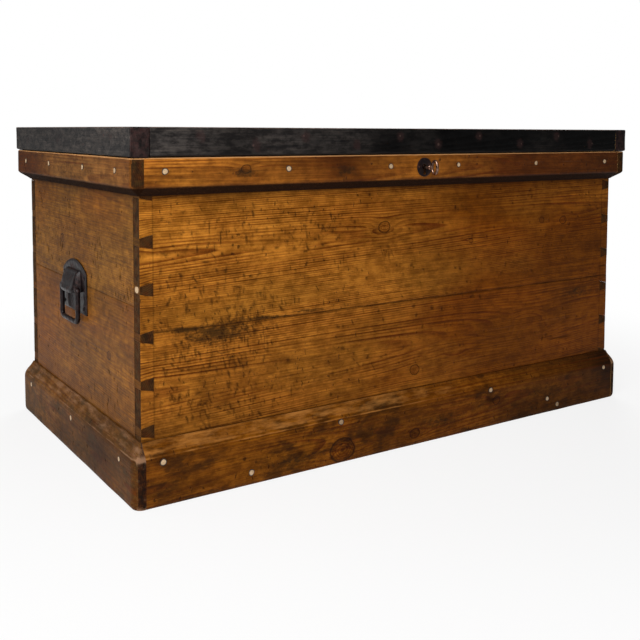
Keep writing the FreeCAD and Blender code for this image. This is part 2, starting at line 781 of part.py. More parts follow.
def lock_case():
    place = ("-lock_width / 2", LOCK_FRONT, LOCK_FLOOR)
    shell = box("lock_shell", place, ("lock_width", "lock_depth", "lock_height"))
    hollow = box(
        "lock_hollow",
        ("-lock_width / 2 + lock_wall", f"{LOCK_FRONT} + lock_wall", CASE_INNER_FLOOR),
        ("lock_width - 2 * lock_wall", "lock_depth", "lock_height - 2 * lock_wall"),
    )
    start = f"{LOCK_FRONT} - overrun"
    depth = "lock_wall + 2 * overrun"
    bore = cylinder("lock_key_bore", ("0", start, KEY_LEVEL), (0, 1, 0), "shank_radius + running_fit", depth)
    slot_width = "(bit_thick + bit_clear)"
    slot_drop = "(bit_reach + bit_clear)"
    slot_place = (f"-{slot_width} / 2", start, f"{KEY_LEVEL} - {slot_drop}")
    slot = box("lock_key_slot", slot_place, (slot_width, depth, slot_drop))
    mouths = []
    for side in ("-1", "1"):
        x = f"{side} * {HOOK_X} - hook_thick / 2 - hook_clear"
        y = f"{LOCK_MIDDLE} - hook_width / 2 - hook_clear"
        lengths = ("hook_thick + 2 * hook_clear", "hook_width + 2 * hook_clear", "lock_wall + 2 * overrun")
        mouths.append(box(f"lock_mouth_{len(mouths) + 1}", (x, y, f"{TOP} - lock_wall - overrun"), lengths))
    return finished(cut("lock_case", shell, [hollow, bore, slot] + mouths))


def lock_screws():
    screws = []
    for side in ("-1", "1"):
        for rise in ("-1", "1"):
            x = f"{side} * (lock_width / 2 + cap_margin - cap_screw_inset)"
            z = f"{TOP} - lock_height / 2 + {rise} * cap_screw_rise"
            name = f"lock_screw_{len(screws) + 1}"
            place = (x, f"{BOARD_BACK} + cap_thick", z)
            head = cone(f"{name}_head", place, (0, -1, 0), "screw_head_radius", "screw_radius", "cap_thick")
            shank = cylinder(f"{name}_shank", place, (0, -1, 0), "screw_radius", "cap_screw_length")
            screws.append(fuse(name, [head, shank]))
    return group("lock_screws", screws)


def lock_cap(screws):
    blank = box(
        "lock_cap_blank",
        ("-lock_width / 2 - cap_margin", BOARD_BACK, f"{LOCK_FLOOR} - cap_margin"),
        ("lock_width + 2 * cap_margin", "cap_thick", "lock_height + cap_margin"),
    )
    return finished(cut("lock_cap", blank, [screws]))


# Bolt: a rail on the floor of the case with two arms, each ending in a finger
def lock_bolt():
    finger = "(bolt_throw - bolt_clear + bolt_slack)"
    right_tip = f"({HOOK_X} - hook_thick / 2 - bolt_clear)"
    left_tip = f"(-{HOOK_X} - hook_thick / 2 - bolt_clear)"
    right_arm = f"({right_tip} - {finger})"
    left_arm = f"({left_tip} - {finger})"
    rail_end = "(lock_width / 2 - lock_wall - bolt_throw - 2 * bolt_clear)"
    points = [
        (f"{left_arm} - arm_thick", RAIL_FLOOR),
        (rail_end, RAIL_FLOOR),
        (rail_end, RAIL_TOP),
        (right_arm, RAIL_TOP),
        (right_arm, FINGER_FLOOR),
        (right_tip, FINGER_FLOOR),
        (right_tip, FINGER_TOP),
        (f"{right_arm} - arm_thick", FINGER_TOP),
        (f"{right_arm} - arm_thick", RAIL_TOP),
        (left_arm, RAIL_TOP),
        (left_arm, FINGER_FLOOR),
        (left_tip, FINGER_FLOOR),
        (left_tip, FINGER_TOP),
        (f"{left_arm} - arm_thick", FINGER_TOP),
    ]
    frame = plate("bolt_frame", LOCK_MIDDLE, "bolt_thick", points)
    rail = box(
        "bolt_rail",
        (f"{left_arm} - arm_thick", f"{LOCK_FRONT} + lock_wall + rail_clear", RAIL_FLOOR),
        (f"{rail_end} - {left_arm} + arm_thick", "lock_depth - lock_wall - 2 * rail_clear", "rail_height"),
    )
    return finished(fuse("lock_bolt", [frame, rail]))


# Leaf spring from the case's right wall down onto the rail
def lock_spring():
    wall = "(lock_width / 2 - lock_wall)"
    tip = f"({wall} - spring_run)"
    foot = f"({RAIL_TOP} + rail_clear)"
    points = [
        (tip, foot),
        (wall, f"{foot} + spring_rise"),
        (wall, f"{foot} + spring_rise + 2 * spring_thick"),
        (tip, f"{foot} + spring_thick"),
    ]
    return finished(plate("lock_spring", LOCK_MIDDLE, "spring_width", points))


# Link plate under the lid, with two hooks that drop into the lock
def link_screws():
    level = f"{PANEL_FLOOR} - link_plate_thick"
    y = f"{BOARD_BACK} + link_screw_inset"
    places = [("0", y, level)]
    places += [(f"{side} * (link_plate_width / 2 - link_screw_inset)", y, level) for side in ("-1", "1")]
    up = (0, 0, 1)
    screws = [screw(f"link_screw_{number}", place, up) for number, place in enumerate(places, start=1)]
    return group("link_plate_screws", screws)


def link_plate(screws):
    parts = [
        box(
            "link_plate_blank",
            ("-link_plate_width / 2", f"{LOCK_MIDDLE} - hook_width / 2", f"{PANEL_FLOOR} - link_plate_thick"),
            ("link_plate_width", "link_plate_depth", "link_plate_thick"),
        )
    ]
    eyes = []
    floor = f"({FINGER_FLOOR} - bolt_slack - hook_bar)"
    for side in ("-1", "1"):
        x = f"{side} * {HOOK_X} - hook_thick / 2"
        place = (x, f"{LOCK_MIDDLE} - hook_width / 2", floor)
        height = f"{PANEL_FLOOR} - link_plate_thick / 2 - {floor}"
        parts.append(box(f"hook_{len(parts)}", place, ("hook_thick", "hook_width", height)))
        eye_place = (f"{x} - overrun", f"{LOCK_MIDDLE} - hook_width / 2 + hook_bar", f"{floor} + hook_bar")
        lengths = ("hook_thick + 2 * overrun", "hook_width - 2 * hook_bar", "finger_height + 2 * bolt_slack")
        eyes.append(box(f"hook_eye_{len(eyes) + 1}", eye_place, lengths))
    return finished(cut("link_plate", fuse("link_plate_solid", parts), eyes + [screws]))


# Escutcheon, its pins and the key
BAND_FACE = f"({FRONT} - band_thick)"


def escutcheon_pins():
    face = f"{BAND_FACE} - escutcheon_thick"
    places = [(f"{side} * escutcheon_pin_spread", face, KEY_LEVEL) for side in ("-1", "1")]
    pins = row_of_pegs("escutcheon_pin", places, (0, 1, 0), "escutcheon_pin_radius", "escutcheon_pin_length")
    return group("escutcheon_pins", pins)


def escutcheon(hole, pins):
    place = ("0", f"{BAND_FACE} - escutcheon_thick", KEY_LEVEL)
    disc = cylinder("escutcheon_disc", place, (0, 1, 0), "escutcheon_radius", "escutcheon_thick")
    return finished(cut("escutcheon", disc, [hole, pins]))


def key():
    bow_y = f"({BAND_FACE} - bow_stand)"
    middle = ("0", bow_y, KEY_LEVEL)
    bow = loop("key_bow", middle, "bow_width", "bow_height", "bow_bar_radius", "bow_bend", "bow_bend")
    start = f"({bow_y} + bow_width / 2 + bow_bar_radius / 2)"
    tip = f"({BOARD_BACK} - bit_clear)"
    shank = cylinder("key_shank", ("0", start, KEY_LEVEL), (0, 1, 0), "shank_radius", f"{tip} - {start}")
    collar_place = ("0", f"{start} + bow_bar_radius", KEY_LEVEL)
    collar = cylinder("key_collar", collar_place, (0, 1, 0), "collar_radius", "collar_length")
    bit = box(
        "key_bit",
        ("-bit_thick / 2", f"{LOCK_MIDDLE} - bit_width / 2", f"{KEY_LEVEL} - bit_reach"),
        ("bit_thick", "bit_width", "bit_reach"),
    )
    return finished(fuse("key", [bow, shank, collar, bit]))


# Whole chest
def chest():
    hole = keyhole()
    for_band = band_pegs()
    for_plinth = plinth_pegs()
    for_lid = lid_nails()
    for_bottom = bottom_nails()
    lower_screws = hinge_screws("hinge_screws_lower", TOP, (0, 0, -1))
    upper_screws = hinge_screws("hinge_screws_upper", LID_FLOOR, (0, 0, 1))
    for_lock = lock_screws()
    for_link = link_screws()
    for_escutcheon = escutcheon_pins()
    for_handle = {side: handle_screws(side) for side in SIDES}
    lower_recess = leaf_recesses("lower_leaf_recess", f"{TOP} - leaf_thick")
    upper_recess = leaf_recesses("upper_leaf_recess", LID_FLOOR)

    drilled = [for_band, for_plinth, for_bottom]
    upper_tools = {"front": [lock_recess(), hole, for_lock], "back": [lower_recess]}
    tails = tail_boards([dovetail_pins()] + drilled, upper_tools)
    end_boards(tails, {side: drilled + [for_handle[side]] for side in SIDES})
    bottom_boards([for_plinth, for_bottom])
    plinth(for_plinth)
    band(for_band, hole, lower_recess, lower_screws, for_escutcheon)
    lid(for_lid, upper_recess, upper_screws, for_link)
    hinges(lower_screws, upper_screws)
    for side in SIDES:
        handle_plate(side, for_handle[side])
        bail(side)
        finished(for_handle[side])
    lock_case()
    lock_cap(for_lock)
    lock_bolt()
    lock_spring()
    link_plate(for_link)
    escutcheon(hole, for_escutcheon)
    key()
    for fasteners in (for_band, for_plinth, for_lid, for_bottom, lower_screws, upper_screws):
        finished(fasteners)
    for fasteners in (for_lock, for_link, for_escutcheon):
        finished(fasteners)


chest()
doc.recompute()

for piece in doc.Objects:
    if "Invalid" in piece.State or "Error" in piece.State:
        raise RuntimeError("%s did not build: %s" % (piece.Label, piece.State))
for piece in nodes:
    if piece.Shape.isNull() or not piece.Shape.isValid() or not piece.Shape.Solids:
        raise RuntimeError("%s has no valid shape" % piece.Label)
for piece in nodes:
    piece.Shape.exportStep("parts/%s.step" % piece.Label)
    bounds = piece.Shape.BoundBox
    print(
        "%-26s solids %2d  volume %10.0f  x %7.1f %7.1f  y %7.1f %7.1f  z %6.1f %6.1f"
        % (
            piece.Label, len(piece.Shape.Solids), piece.Shape.Volume,
            bounds.XMin, bounds.XMax, bounds.YMin, bounds.YMax, bounds.ZMin, bounds.ZMax,
        )
    )
print(len(nodes), "nodes")
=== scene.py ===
import json
import math

import bpy
import numpy as np
from bpy.props import FloatProperty, FloatVectorProperty, PointerProperty
from mathutils import Matrix, Vector


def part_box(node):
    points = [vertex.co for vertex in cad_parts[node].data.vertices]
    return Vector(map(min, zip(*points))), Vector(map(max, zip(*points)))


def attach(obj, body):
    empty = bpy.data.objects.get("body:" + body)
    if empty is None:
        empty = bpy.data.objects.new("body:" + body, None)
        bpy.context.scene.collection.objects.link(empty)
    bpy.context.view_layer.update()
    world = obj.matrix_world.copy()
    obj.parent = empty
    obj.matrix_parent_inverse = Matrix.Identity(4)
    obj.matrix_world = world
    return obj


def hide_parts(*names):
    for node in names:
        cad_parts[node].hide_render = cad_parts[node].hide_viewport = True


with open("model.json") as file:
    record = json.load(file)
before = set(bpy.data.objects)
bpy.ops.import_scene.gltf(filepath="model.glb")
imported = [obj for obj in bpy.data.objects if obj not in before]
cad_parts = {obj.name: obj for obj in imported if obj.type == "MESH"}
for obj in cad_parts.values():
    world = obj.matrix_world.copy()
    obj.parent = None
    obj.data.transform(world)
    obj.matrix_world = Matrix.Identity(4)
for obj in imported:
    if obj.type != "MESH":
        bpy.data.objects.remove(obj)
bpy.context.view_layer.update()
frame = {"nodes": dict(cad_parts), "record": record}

bl_info = {
    "name": "Fitted Chest",
    "version": (1, 0, 0),
    "blender": (4, 5, 0),
    "location": "3D View > Sidebar > Chest",
    "description": "Dresses the fitted chest: worn pine, painted lid, blackened ironwork and a plain studio",
    "category": "Object",
}

MM = 0.001


def box(node):
    """A node's lowest and highest corners, as arrays."""
    low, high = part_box(node)
    return np.array(low), np.array(high)


FRONT_LOW, FRONT_HIGH = box("front_board_lower")
HALF_WIDTH = FRONT_HIGH[0]
FRONT, FRONT_INSIDE = FRONT_LOW[1], FRONT_HIGH[1]
BACK_INSIDE, BACK = box("back_board_lower")[0][1], box("back_board_lower")[1][1]
END_INSIDE = box("right_end_board_lower")[0][0]
END_THICK = HALF_WIDTH - END_INSIDE
CARCASS_FLOOR, CARCASS_TOP = FRONT_LOW[2], box("front_board_upper")[1][2]
JOINT_LEVEL = FRONT_HIGH[2]
PLINTH_TOP, BAND_FOOT = box("plinth_front")[1][2], box("band_front")[0][2]
MIDDLE = np.array([0.0, (FRONT + BACK) / 2, CARCASS_TOP / 2])

# The pins: seven down each corner, the left ones higher than the right ones
PIN_COUNT = 7
PIN_PITCH = (CARCASS_TOP - CARCASS_FLOOR) / PIN_COUNT
PIN_SHARES = {-1: 0.25, 1: 0.02}
PINS = {side: CARCASS_FLOOR + PIN_PITCH * (np.arange(PIN_COUNT) + share) for side, share in PIN_SHARES.items()}
PIN_HALF = 7.5 * MM
PIN_FLARE = 2.0 * MM
PIN_FADE = 45 * MM


def tone(red, green, blue):
    """A colour as it looks on screen, 0 to 255, turned into the linear values that a shader takes."""
    share = np.array([red, green, blue]) / 255
    return tuple(np.where(share <= 0.04045, share / 12.92, ((share + 0.055) / 1.055) ** 2.4))


# ---------------------------------------------------------------- sizes and colours a user would change


def length(name, description, default):
    return FloatProperty(name=name, description=description, default=default, min=0, subtype="DISTANCE", unit="LENGTH")


def colour(name, description, default):
    return FloatVectorProperty(
        name=name, description=description, default=default, size=3, min=0, max=1, subtype="COLOR"
    )


class ChestSizes(bpy.types.PropertyGroup):
    """Sizes of the wear and the small relief"""

    board_step: length("Front grid", "Spacing of the front boards' mesh", 1.9 * MM)
    coarse_step: length("Other grids", "Spacing of the other boards' mesh", 4.5 * MM)
    arris: length("Arris", "Radius that the boards' arrises are worn to", 0.9 * MM)
    lid_arris: length("Lid arris", "Radius that the lid's arrises are worn to", 2.4 * MM)
    corner: length("Plinth corner", "Radius of the plinth's upright corners, seen from above", 15 * MM)
    band_corner: length("Band corner", "Radius of the band's upright corners, seen from above", 6 * MM)
    sway: length("Sway", "How far a board's face wanders inwards", 0.35 * MM)
    dent_depth: length("Dent depth", "Depth of the scratches and dents", 0.55 * MM)
    seam_dip: length("Seam dip", "How far the plank joints' edges are worn back", 0.5 * MM)
    pin_proud: length("Pin proud", "How far the pins stand out of the face", 0.15 * MM)
    ring_gap: length("Ring spacing", "Distance between growth rings on a board's face", 2.8 * MM)
    hammer: length("Hammer marks", "Depth of the unevenness on the ironwork", 0.3 * MM)
    hood_wall: length("Hood wall", "Thickness of the sheet of the handle's hood", 2.3 * MM)
    peg_radius: length("Peg radius", "Radius of the pegs' faces", 4.6 * MM)
    nail_radius: length("Nail radius", "Radius of the lid nails' heads", 2.2 * MM)


class ChestColours(bpy.types.PropertyGroup):
    """Colours of the finishes"""

    pine: colour("Front pine", "Waxed pine of the front between its rings", tone(172, 114, 42))
    pine_late: colour("Late wood", "Darker lines of the growth rings", tone(112, 56, 14))
    # The aged colours of the front, band and plinth also paint the shade that darkens them to the right and below
    pine_aged: colour("Aged pine", "The front's darker, redder side", tone(122, 68, 10))
    end_pine: colour("End pine", "Waxed pine of the two ends", tone(134, 92, 36))
    end_aged: colour("Aged end pine", "The ends' browner places", tone(130, 78, 18))
    plinth: colour("Plinth", "Plinth between its rings", tone(132, 80, 18))
    plinth_end: colour("Plinth end", "Plinth between its rings on the two ends", tone(118, 80, 38))
    plinth_dark: colour("Plinth dark", "Plinth's dark blotches", tone(46, 24, 6))
    band: colour("Band", "Band between its rings", tone(174, 112, 42))
    band_aged: colour("Aged band", "The band's browner places", tone(88, 46, 10))
    band_end: colour("Band end", "Band between its rings on the two ends", tone(132, 90, 46))
    raw: colour("Raw pine", "Unfinished pine inside the chest", tone(190, 150, 96))
    end_grain: colour("End grain", "Sawn ends of the boards", tone(50, 28, 11))
    # This colour also paints shade: the dark lines in creases, under the band and in the gap under the lid
    mark: colour("Marks", "Scratches, dents and old bruises", tone(34, 16, 4))
    stain: colour("Stain", "Soot and iron stain", tone(36, 28, 12))
    paint: colour("Paint", "The lid's old paint on its darker side", tone(2, 1, 1))
    # Painted sheen: the lid's paint is painted this grey at its left end in place of the light's reflection there
    paint_sheen: colour("Greyed paint", "The lid's paint where it has greyed", tone(58, 54, 52))
    paint_worn: colour("Worn paint", "Where the lid's paint has rubbed thin", tone(46, 32, 26))
    iron: colour("Iron", "Blackened iron of the handles", tone(24, 16, 17))
    rust: colour("Rust", "Rust on the ironwork", tone(62, 36, 30))
    steel: colour("Steel", "Rubbed steel of the key", tone(168, 132, 112))
    peg: colour("Pegs", "Faces of the pegs", tone(228, 198, 158))
    floor: colour("Floor", "Studio floor", tone(250, 250, 250))


class ChestStage(bpy.types.PropertyGroup):
    """The studio"""

    key_power: FloatProperty(
        name="Key light", description="Power of the large soft light", default=31, min=0, unit="POWER"
    )
    key_size: length("Key size", "Width of the large soft light", 1.3)
    ambient: FloatProperty(name="Ambient", description="Brightness of the room's own light", default=0.16, min=0)
    backdrop: FloatProperty(
        name="Backdrop", description="Brightness of the backdrop that the camera sees", default=1.0, min=0
    )


# ---------------------------------------------------------------- meshes


def skin(filled, wrap=None):
    """Outside of a lattice of cells, as corner numbers of quads: one wherever a filled cell meets an empty one,
    its corners in the order that looks away from the filled one. wrap names an axis whose ends are joined."""
    counts = [n + (axis != wrap) for axis, n in enumerate(filled.shape)]
    number = np.arange(np.prod(counts)).reshape(counts)
    if wrap is not None:
        number = np.concatenate([number, number.take([0], wrap)], wrap)
    quads = []
    for axis in range(3):
        order = (axis, (axis + 1) % 3, (axis + 2) % 3)
        mode = "wrap" if axis == wrap else "constant"
        cells = np.pad(filled.transpose(order), ((1, 1), (0, 0), (0, 0)), mode=mode)
        index = number.transpose(order)
        for inner, outer, turn in ((cells[:-1], cells[1:], 1), (cells[1:], cells[:-1], -1)):
            i, j, k = np.nonzero(inner & ~outer)
            ring = np.stack([index[i, j, k], index[i, j + 1, k], index[i, j + 1, k + 1], index[i, j, k + 1]], 1)
            quads.append(ring[:, ::turn])
    return np.concatenate(quads)


def lattice(x, y, z, filled=None, wrap=None):
    """Points and quads of the outside of a lattice with grid lines x, y and z; points no quad uses are left out."""
    cells = [len(x) - (wrap != 0), len(y) - (wrap != 1), len(z) - (wrap != 2)]
    quads = skin(np.ones(cells, bool) if filled is None else filled, wrap)
    points = np.stack(np.meshgrid(x, y, z, indexing="ij"), -1).reshape(-1, 3)
    used, quads = np.unique(quads, return_inverse=True)
    return points[used], quads.reshape(-1, 4)


# Places of the close grid lines at a board's arris, as shares of its radius; and the share of a step within which an
# even line makes way for one that is kept
ARRIS_LINES = np.array([0, 0.45, 1.0, 2.2])
KEPT_ROOM = 0.25


def grid_lines(low, high, step, edge=0.9 * MM, keep=()):
    """Grid lines from low to high: four close together at both ends, even steps between, and the ones to keep."""
    near = ARRIS_LINES * edge
    count = max(1, int(round((high - low - 2 * near[-1]) / step)))
    even = np.linspace(low + near[-1], high - near[-1], count + 1)
    kept = np.array([k for k in keep if low < k < high])
    if len(kept):
        even = even[np.abs(even[:, None] - kept).min(1) > step * KEPT_ROOM]
    return np.unique(np.concatenate([low + near, even, high - near, kept]).round(6))


def net(numbers):
    """Quads between the rows and columns of a sheet of point numbers."""
    return np.stack([numbers[:-1, :-1], numbers[1:, :-1], numbers[1:, 1:], numbers[:-1, 1:]], -1).reshape(-1, 4)


def middles(lines):
    """Middles of the cells between grid lines."""
    return (lines[:-1] + lines[1:]) / 2


# How many waves make up a drift, and the least distance that anything is divided by
WAVES, TINY = 10, 1e-9


def drift(points, reach, seed):
    """Smooth irregularity, mostly from -1 to 1: a sum of sine waves about `reach` long that run in drawn
    directions."""
    draw = np.random.default_rng(seed)
    way = draw.normal(size=(WAVES, 3))
    way *= 2 * np.pi / reach * draw.uniform(0.5, 1.6, (WAVES, 1)) / np.linalg.norm(way, axis=1, keepdims=True)
    return np.sin(points @ way.T + draw.uniform(0, 2 * np.pi, WAVES)).sum(-1) / np.sqrt(2.0 * WAVES)



def smooth(value, low, high):
    """0 below low, 1 above high, and a smooth step between."""
    share = np.clip((value - low) / (high - low), 0, 1)
    return share * share * (3 - 2 * share)


def round_arrises(points, low, high, radius):
    """Rounds a box's arrises: a point further than the radius from the box shrunk by the radius is drawn to it."""
    radius = np.reshape(radius, (-1, 1))
    core = np.clip(points, low + radius, high - radius)
    away = points - core
    reach = np.linalg.norm(away, axis=1, keepdims=True)
    return core + away * np.minimum(1, radius / np.maximum(reach, TINY))


# How far from its middle a spot is worked out, in its longer half length
SPOT_REACH = 1.8


def spots(along, across, rows, soft=2.0):
    """Strongest of several soft-edged ellipses at each point: strength times exp(-(distance in radii)^(2 soft)).
    A row is place along the grain, place across it, half length, half width, lean from upright, strength."""
    found = np.zeros(len(along))
    for u, v, long, wide, lean, strength in rows:
        c, s = math.cos(math.radians(lean)), math.sin(math.radians(lean))
        reach = max(long, wide) * SPOT_REACH * MM
        near = np.nonzero((np.abs(along - u * MM) < reach) & (np.abs(across - v * MM) < reach))[0]
        du, dv = along[near] - u * MM, across[near] - v * MM
        apart = ((du * c + dv * s) / (wide * MM)) ** 2 + ((dv * c - du * s) / (long * MM)) ** 2
        found[near] = np.maximum(found[near], strength * np.exp(-(apart**soft)))
    return found


def new_mesh(name, points, quads, values=None, face_values=None, sharp=35):
    """A smooth-shaded mesh from points and quads, with named values on its points and on its faces."""
    mesh = bpy.data.meshes.new(name)
    mesh.vertices.add(len(points))
    mesh.vertices.foreach_set("co", np.ascontiguousarray(points, np.float32).ravel())
    mesh.loops.add(quads.size)
    mesh.loops.foreach_set("vertex_index", np.ascontiguousarray(quads, np.int32).ravel())
    mesh.polygons.add(len(quads))
    mesh.polygons.foreach_set("loop_start", np.arange(0, quads.size, quads.shape[1], dtype=np.int32))
    mesh.update(calc_edges=True)
    if mesh.validate():
        raise RuntimeError(f"{name}: its mesh has faulty faces")
    for domain, named in (("POINT", values or {}), ("FACE", face_values or {})):
        for key, numbers in named.items():
            mesh.attributes.new(key, "FLOAT", domain).data.foreach_set("value", np.asarray(numbers, np.float32))
    mesh.shade_smooth()
    mesh.set_sharp_from_angle(angle=math.radians(sharp))
    return mesh


def new_piece(name, mesh, material, body, nodes=()):
    """Puts a mesh into the scene as a piece that rides on a body and stands for CAD nodes."""
    piece = bpy.data.objects.new(name, mesh)
    bpy.context.scene.collection.objects.link(piece)
    mesh.materials.append(material)
    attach(piece, body)
    if nodes:
        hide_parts(*nodes)
    return piece


def joined(parts):
    """Several (points, quads, values) as one."""
    starts = np.cumsum([0] + [len(p[0]) for p in parts[:-1]])
    points = np.concatenate([p[0] for p in parts])
    quads = np.concatenate([p[1] + start for p, start in zip(parts, starts)])
    return points, quads, {key: np.concatenate([p[2][key] for p in parts]) for key in parts[0][2]}


# ---------------------------------------------------------------- wood


# Knots larger than this, in mm, lie under the face: they draw the rings aside but don't show themselves
BURIED_KNOT = 18.0


class Board:
    """A wood node's box, and the axes that its grain, width and thickness run along."""

    def __init__(self, node):
        self.node = node
        self.low, self.high = box(node)
        size = self.high - self.low
        self.grain, self.depth = int(size.argmax()), int(size.argmin())
        self.across = 3 - self.grain - self.depth
        self.outward = 1 if (self.low + self.high)[self.depth] / 2 > MIDDLE[self.depth] else -1
        self.face = (self.high if self.outward > 0 else self.low)[self.depth]
        self.thick = size[self.depth]

    def along(self, points):
        return points[:, self.grain] - self.low[self.grain]

    def beneath(self, points):
        return (self.face - points[:, self.depth]) * self.outward

    def layers(self, *depths):
        """Grid lines at depths in mm beneath the outer face, and at the inner face."""
        return np.sort(self.face - self.outward * np.array([*depths, self.thick / MM]) * MM)


# The heart line: how far it wanders, and how much it leans across the board and tilts into it, per metre
RING_WANDER, RING_LEAN, RING_TILT = 6 * MM, 0.03, 0.02
# How far along and across a knot draws the rings aside, in its radii; its reach, and its length over its width
KNOT_PULL_ALONG, KNOT_PULL_ACROSS, KNOT_REACH, KNOT_LONG = 3.2, 1.7, 1.3, 1.25
ASIDE = 1e-6


def growth(board, points, heart, depth, gap, knots):
    """Growth-ring number at each point: distance from a heart line that runs beside the board, over the ring
    spacing, drawn aside round each knot (place along, place across, radius, pull)."""
    u, v, t = board.along(points), points[:, board.across], board.beneath(points)
    across = v - heart + RING_WANDER * drift(points, 1.0, int(depth * 1e4)) - RING_LEAN * u
    rings = np.sqrt(across**2 + (depth + t + RING_TILT * u) ** 2) / gap
    for knot_u, knot_v, radius, pull in knots:
        along_share = (u - knot_u * MM) / (KNOT_PULL_ALONG * radius * MM)
        near = along_share**2 + ((v - knot_v * MM) / (KNOT_PULL_ACROSS * radius * MM)) ** 2
        rings = rings + pull * np.exp(-near) * np.sign(v - knot_v * MM + ASIDE) * smooth(near, 0.0, 0.3)
    return rings


def knot_field(board, points, knots):
    """1.3 less the distance from the nearest knot's middle in its radii, and 0 further out."""
    u, v = board.along(points), points[:, board.across]
    found = np.zeros(len(points))
    for knot_u, knot_v, radius, _ in knots:
        if radius > BURIED_KNOT:
            continue
        apart = np.hypot((u - knot_u * MM) / KNOT_LONG, v - knot_v * MM) / (radius * MM)
        found = np.maximum(found, np.clip(KNOT_REACH - apart, 0, KNOT_REACH))
    return found


def quad_normals(points, quads):
    """Unit normals of quads, from the cross product of their diagonals."""
    a, b, c, d = (points[quads[:, n]] for n in range(4))
    normal = np.cross(c - a, d - b)
    return normal / np.maximum(np.linalg.norm(normal, axis=1, keepdims=True), 1e-12)


# How far wear reaches from an arris, and how squarely a face looks along the grain or inwards to count as that
WEAR_REACH, SAWN_LOOK, INSIDE_LOOK = 2.5 * MM, 0.75, 0.97
RELIEF_REACH = 4 * MM


def wood_piece(board, points, quads, shaped, material, body, heart, depth, knots, values):
    """Finishes a wood piece: its rings, knots, worn edges, sawn ends and raw inside as values for its material.
    points are the square lattice's, and shaped are the same points once worn and bent to shape."""
    sizes = bpy.context.scene.chest_sizes
    gaps = np.sort(np.minimum(points - board.low, board.high - points), 1)
    normals = quad_normals(shaped, quads)
    inward = np.zeros(3)
    inward[board.depth] = -board.outward
    field = {
        "rings": growth(board, points, heart, depth, sizes.ring_gap, knots),
        "knot": knot_field(board, points, knots),
        "wear": np.exp(-gaps[:, 1] / WEAR_REACH),
        **values,
    }
    faces = {
        "sawn": (np.abs(normals[:, board.grain]) > SAWN_LOOK).astype(float),
        "inside": (normals @ inward > INSIDE_LOOK).astype(float),
    }
    mesh = new_mesh(board.node.replace("board", "plank"), shaped, quads, field, faces)
    return new_piece("dressed_" + board.node, mesh, material, body, [board.node])


def face_relief(board, points, sizes, seed, dents):
    """Depth that a board's outer face is pressed in: a long sway and the dents, fading out beneath the face."""
    sway = sizes.sway * (0.5 + 0.5 * drift(points, 0.22, seed))
    pressed = np.clip(sway, 0, None) + sizes.dent_depth * dents
    return pressed * np.clip(1 - board.beneath(points) / RELIEF_REACH, 0, 1)


# Marks on the front, in mm from the left corner and above the floor: place along, height, half length, half
# width, lean from upright, strength
FRONT_MARKS = (
    (102, 371, 11, 1.1, 0, 0.9), (120, 353, 12, 1.0, 4, 0.9), (129, 357, 4, 0.9, 90, 0.8),
    (113, 346, 6, 0.9, 0, 0.8), (108, 332, 6, 0.9, 40, 0.8), (97, 324, 5, 1.0, 90, 0.8), (114, 310, 4, 2.0, 20, 0.8),
    (128, 309, 4, 2.2, -20, 0.9), (241, 255, 5, 1.0, 0, 0.9), (249, 255, 4, 1.0, 0, 0.8),
    (277, 390, 7, 2.0, 90, 0.6), (354, 407, 2.6, 2.4, 0, 0.9), (377, 407, 3.2, 2.8, 0, 0.9),
    (401, 318, 9, 0.9, 20, 0.7), (409, 313, 11, 0.9, -15, 0.8), (416, 308, 12, 1.0, 10, 0.8),
    (423, 311, 9, 0.9, 25, 0.7), (592, 328, 7, 1.0, 0, 0.7), (329, 310, 9, 0.8, 0, 0.6),
    (560, 351, 14, 1.3, 90, 0.5), (600, 351.5, 18, 1.5, 88, 0.55), (650, 351, 22, 1.3, 90, 0.5),
    (779, 348, 5, 1.4, 0, 0.6), (819, 348, 5, 1.4, 10, 0.6), (813, 307, 5, 1.6, 30, 0.6),
    (926, 253, 14, 1.2, 88, 0.9), (230, 168, 4, 3.0, 0, 0.7), (328, 173, 5, 3.4, 70, 0.75),
    (467, 223, 4, 3.2, 80, 0.75), (506, 216, 4.4, 3.4, 60, 0.8), (387, 134, 8, 1.0, 30, 0.7),
    (236, 121, 9, 1.1, 0, 0.8), (816, 128, 40, 1.3, 88, 0.8), (838, 130, 22, 1.0, 90, 0.6),
    (829, 168, 6, 1.2, 0, 0.7), (833, 163, 5, 1.0, 90, 0.6), (318, 207, 3, 2.4, 0, 0.6), (328, 207, 3, 2.4, 0, 0.6),
    (461, 290, 2.6, 2.4, 0, 0.8), (479, 309, 2.6, 2.2, 0, 0.7), (445, 277, 2.6, 2.4, 0, 0.6),
    (372, 277, 2.6, 2.4, 0, 0.7), (396, 223, 3.2, 2.6, 0, 0.8), (349, 162, 3.0, 2.6, 0, 0.7),
    (307, 104, 3.4, 2.8, 0, 0.7), (60, 300, 7, 1.0, 5, 0.7), (72, 288, 6, 1.0, -5, 0.7), (150, 280, 6, 1.0, 0, 0.7),
    (182, 272, 5, 1.0, 10, 0.7), (205, 262, 6, 1.0, 0, 0.6), (214, 300, 5, 1.0, 0, 0.5), (145, 322, 6, 1.0, 10, 0.6),
)
# Soft stains on the front, in the same order
FRONT_STAINS = (
    (112, 222, 68, 17, 88, 0.85), (70, 232, 40, 5, 88, 0.9), (190, 236, 60, 4, 87, 0.8),
    (265, 238, 45, 3.2, 88, 0.75), (856, 210, 46, 14, 88, 0.6), (700, 150, 40, 5, 35, 0.35),
    (90, 160, 60, 34, 80, 0.3), (330, 240, 22, 2.5, 90, 0.5), (905, 232, 32, 16, 80, 0.35),
    (120, 190, 90, 60, 80, 0.34), (210, 150, 110, 60, 75, 0.28), (150, 300, 60, 30, 60, 0.22),
)
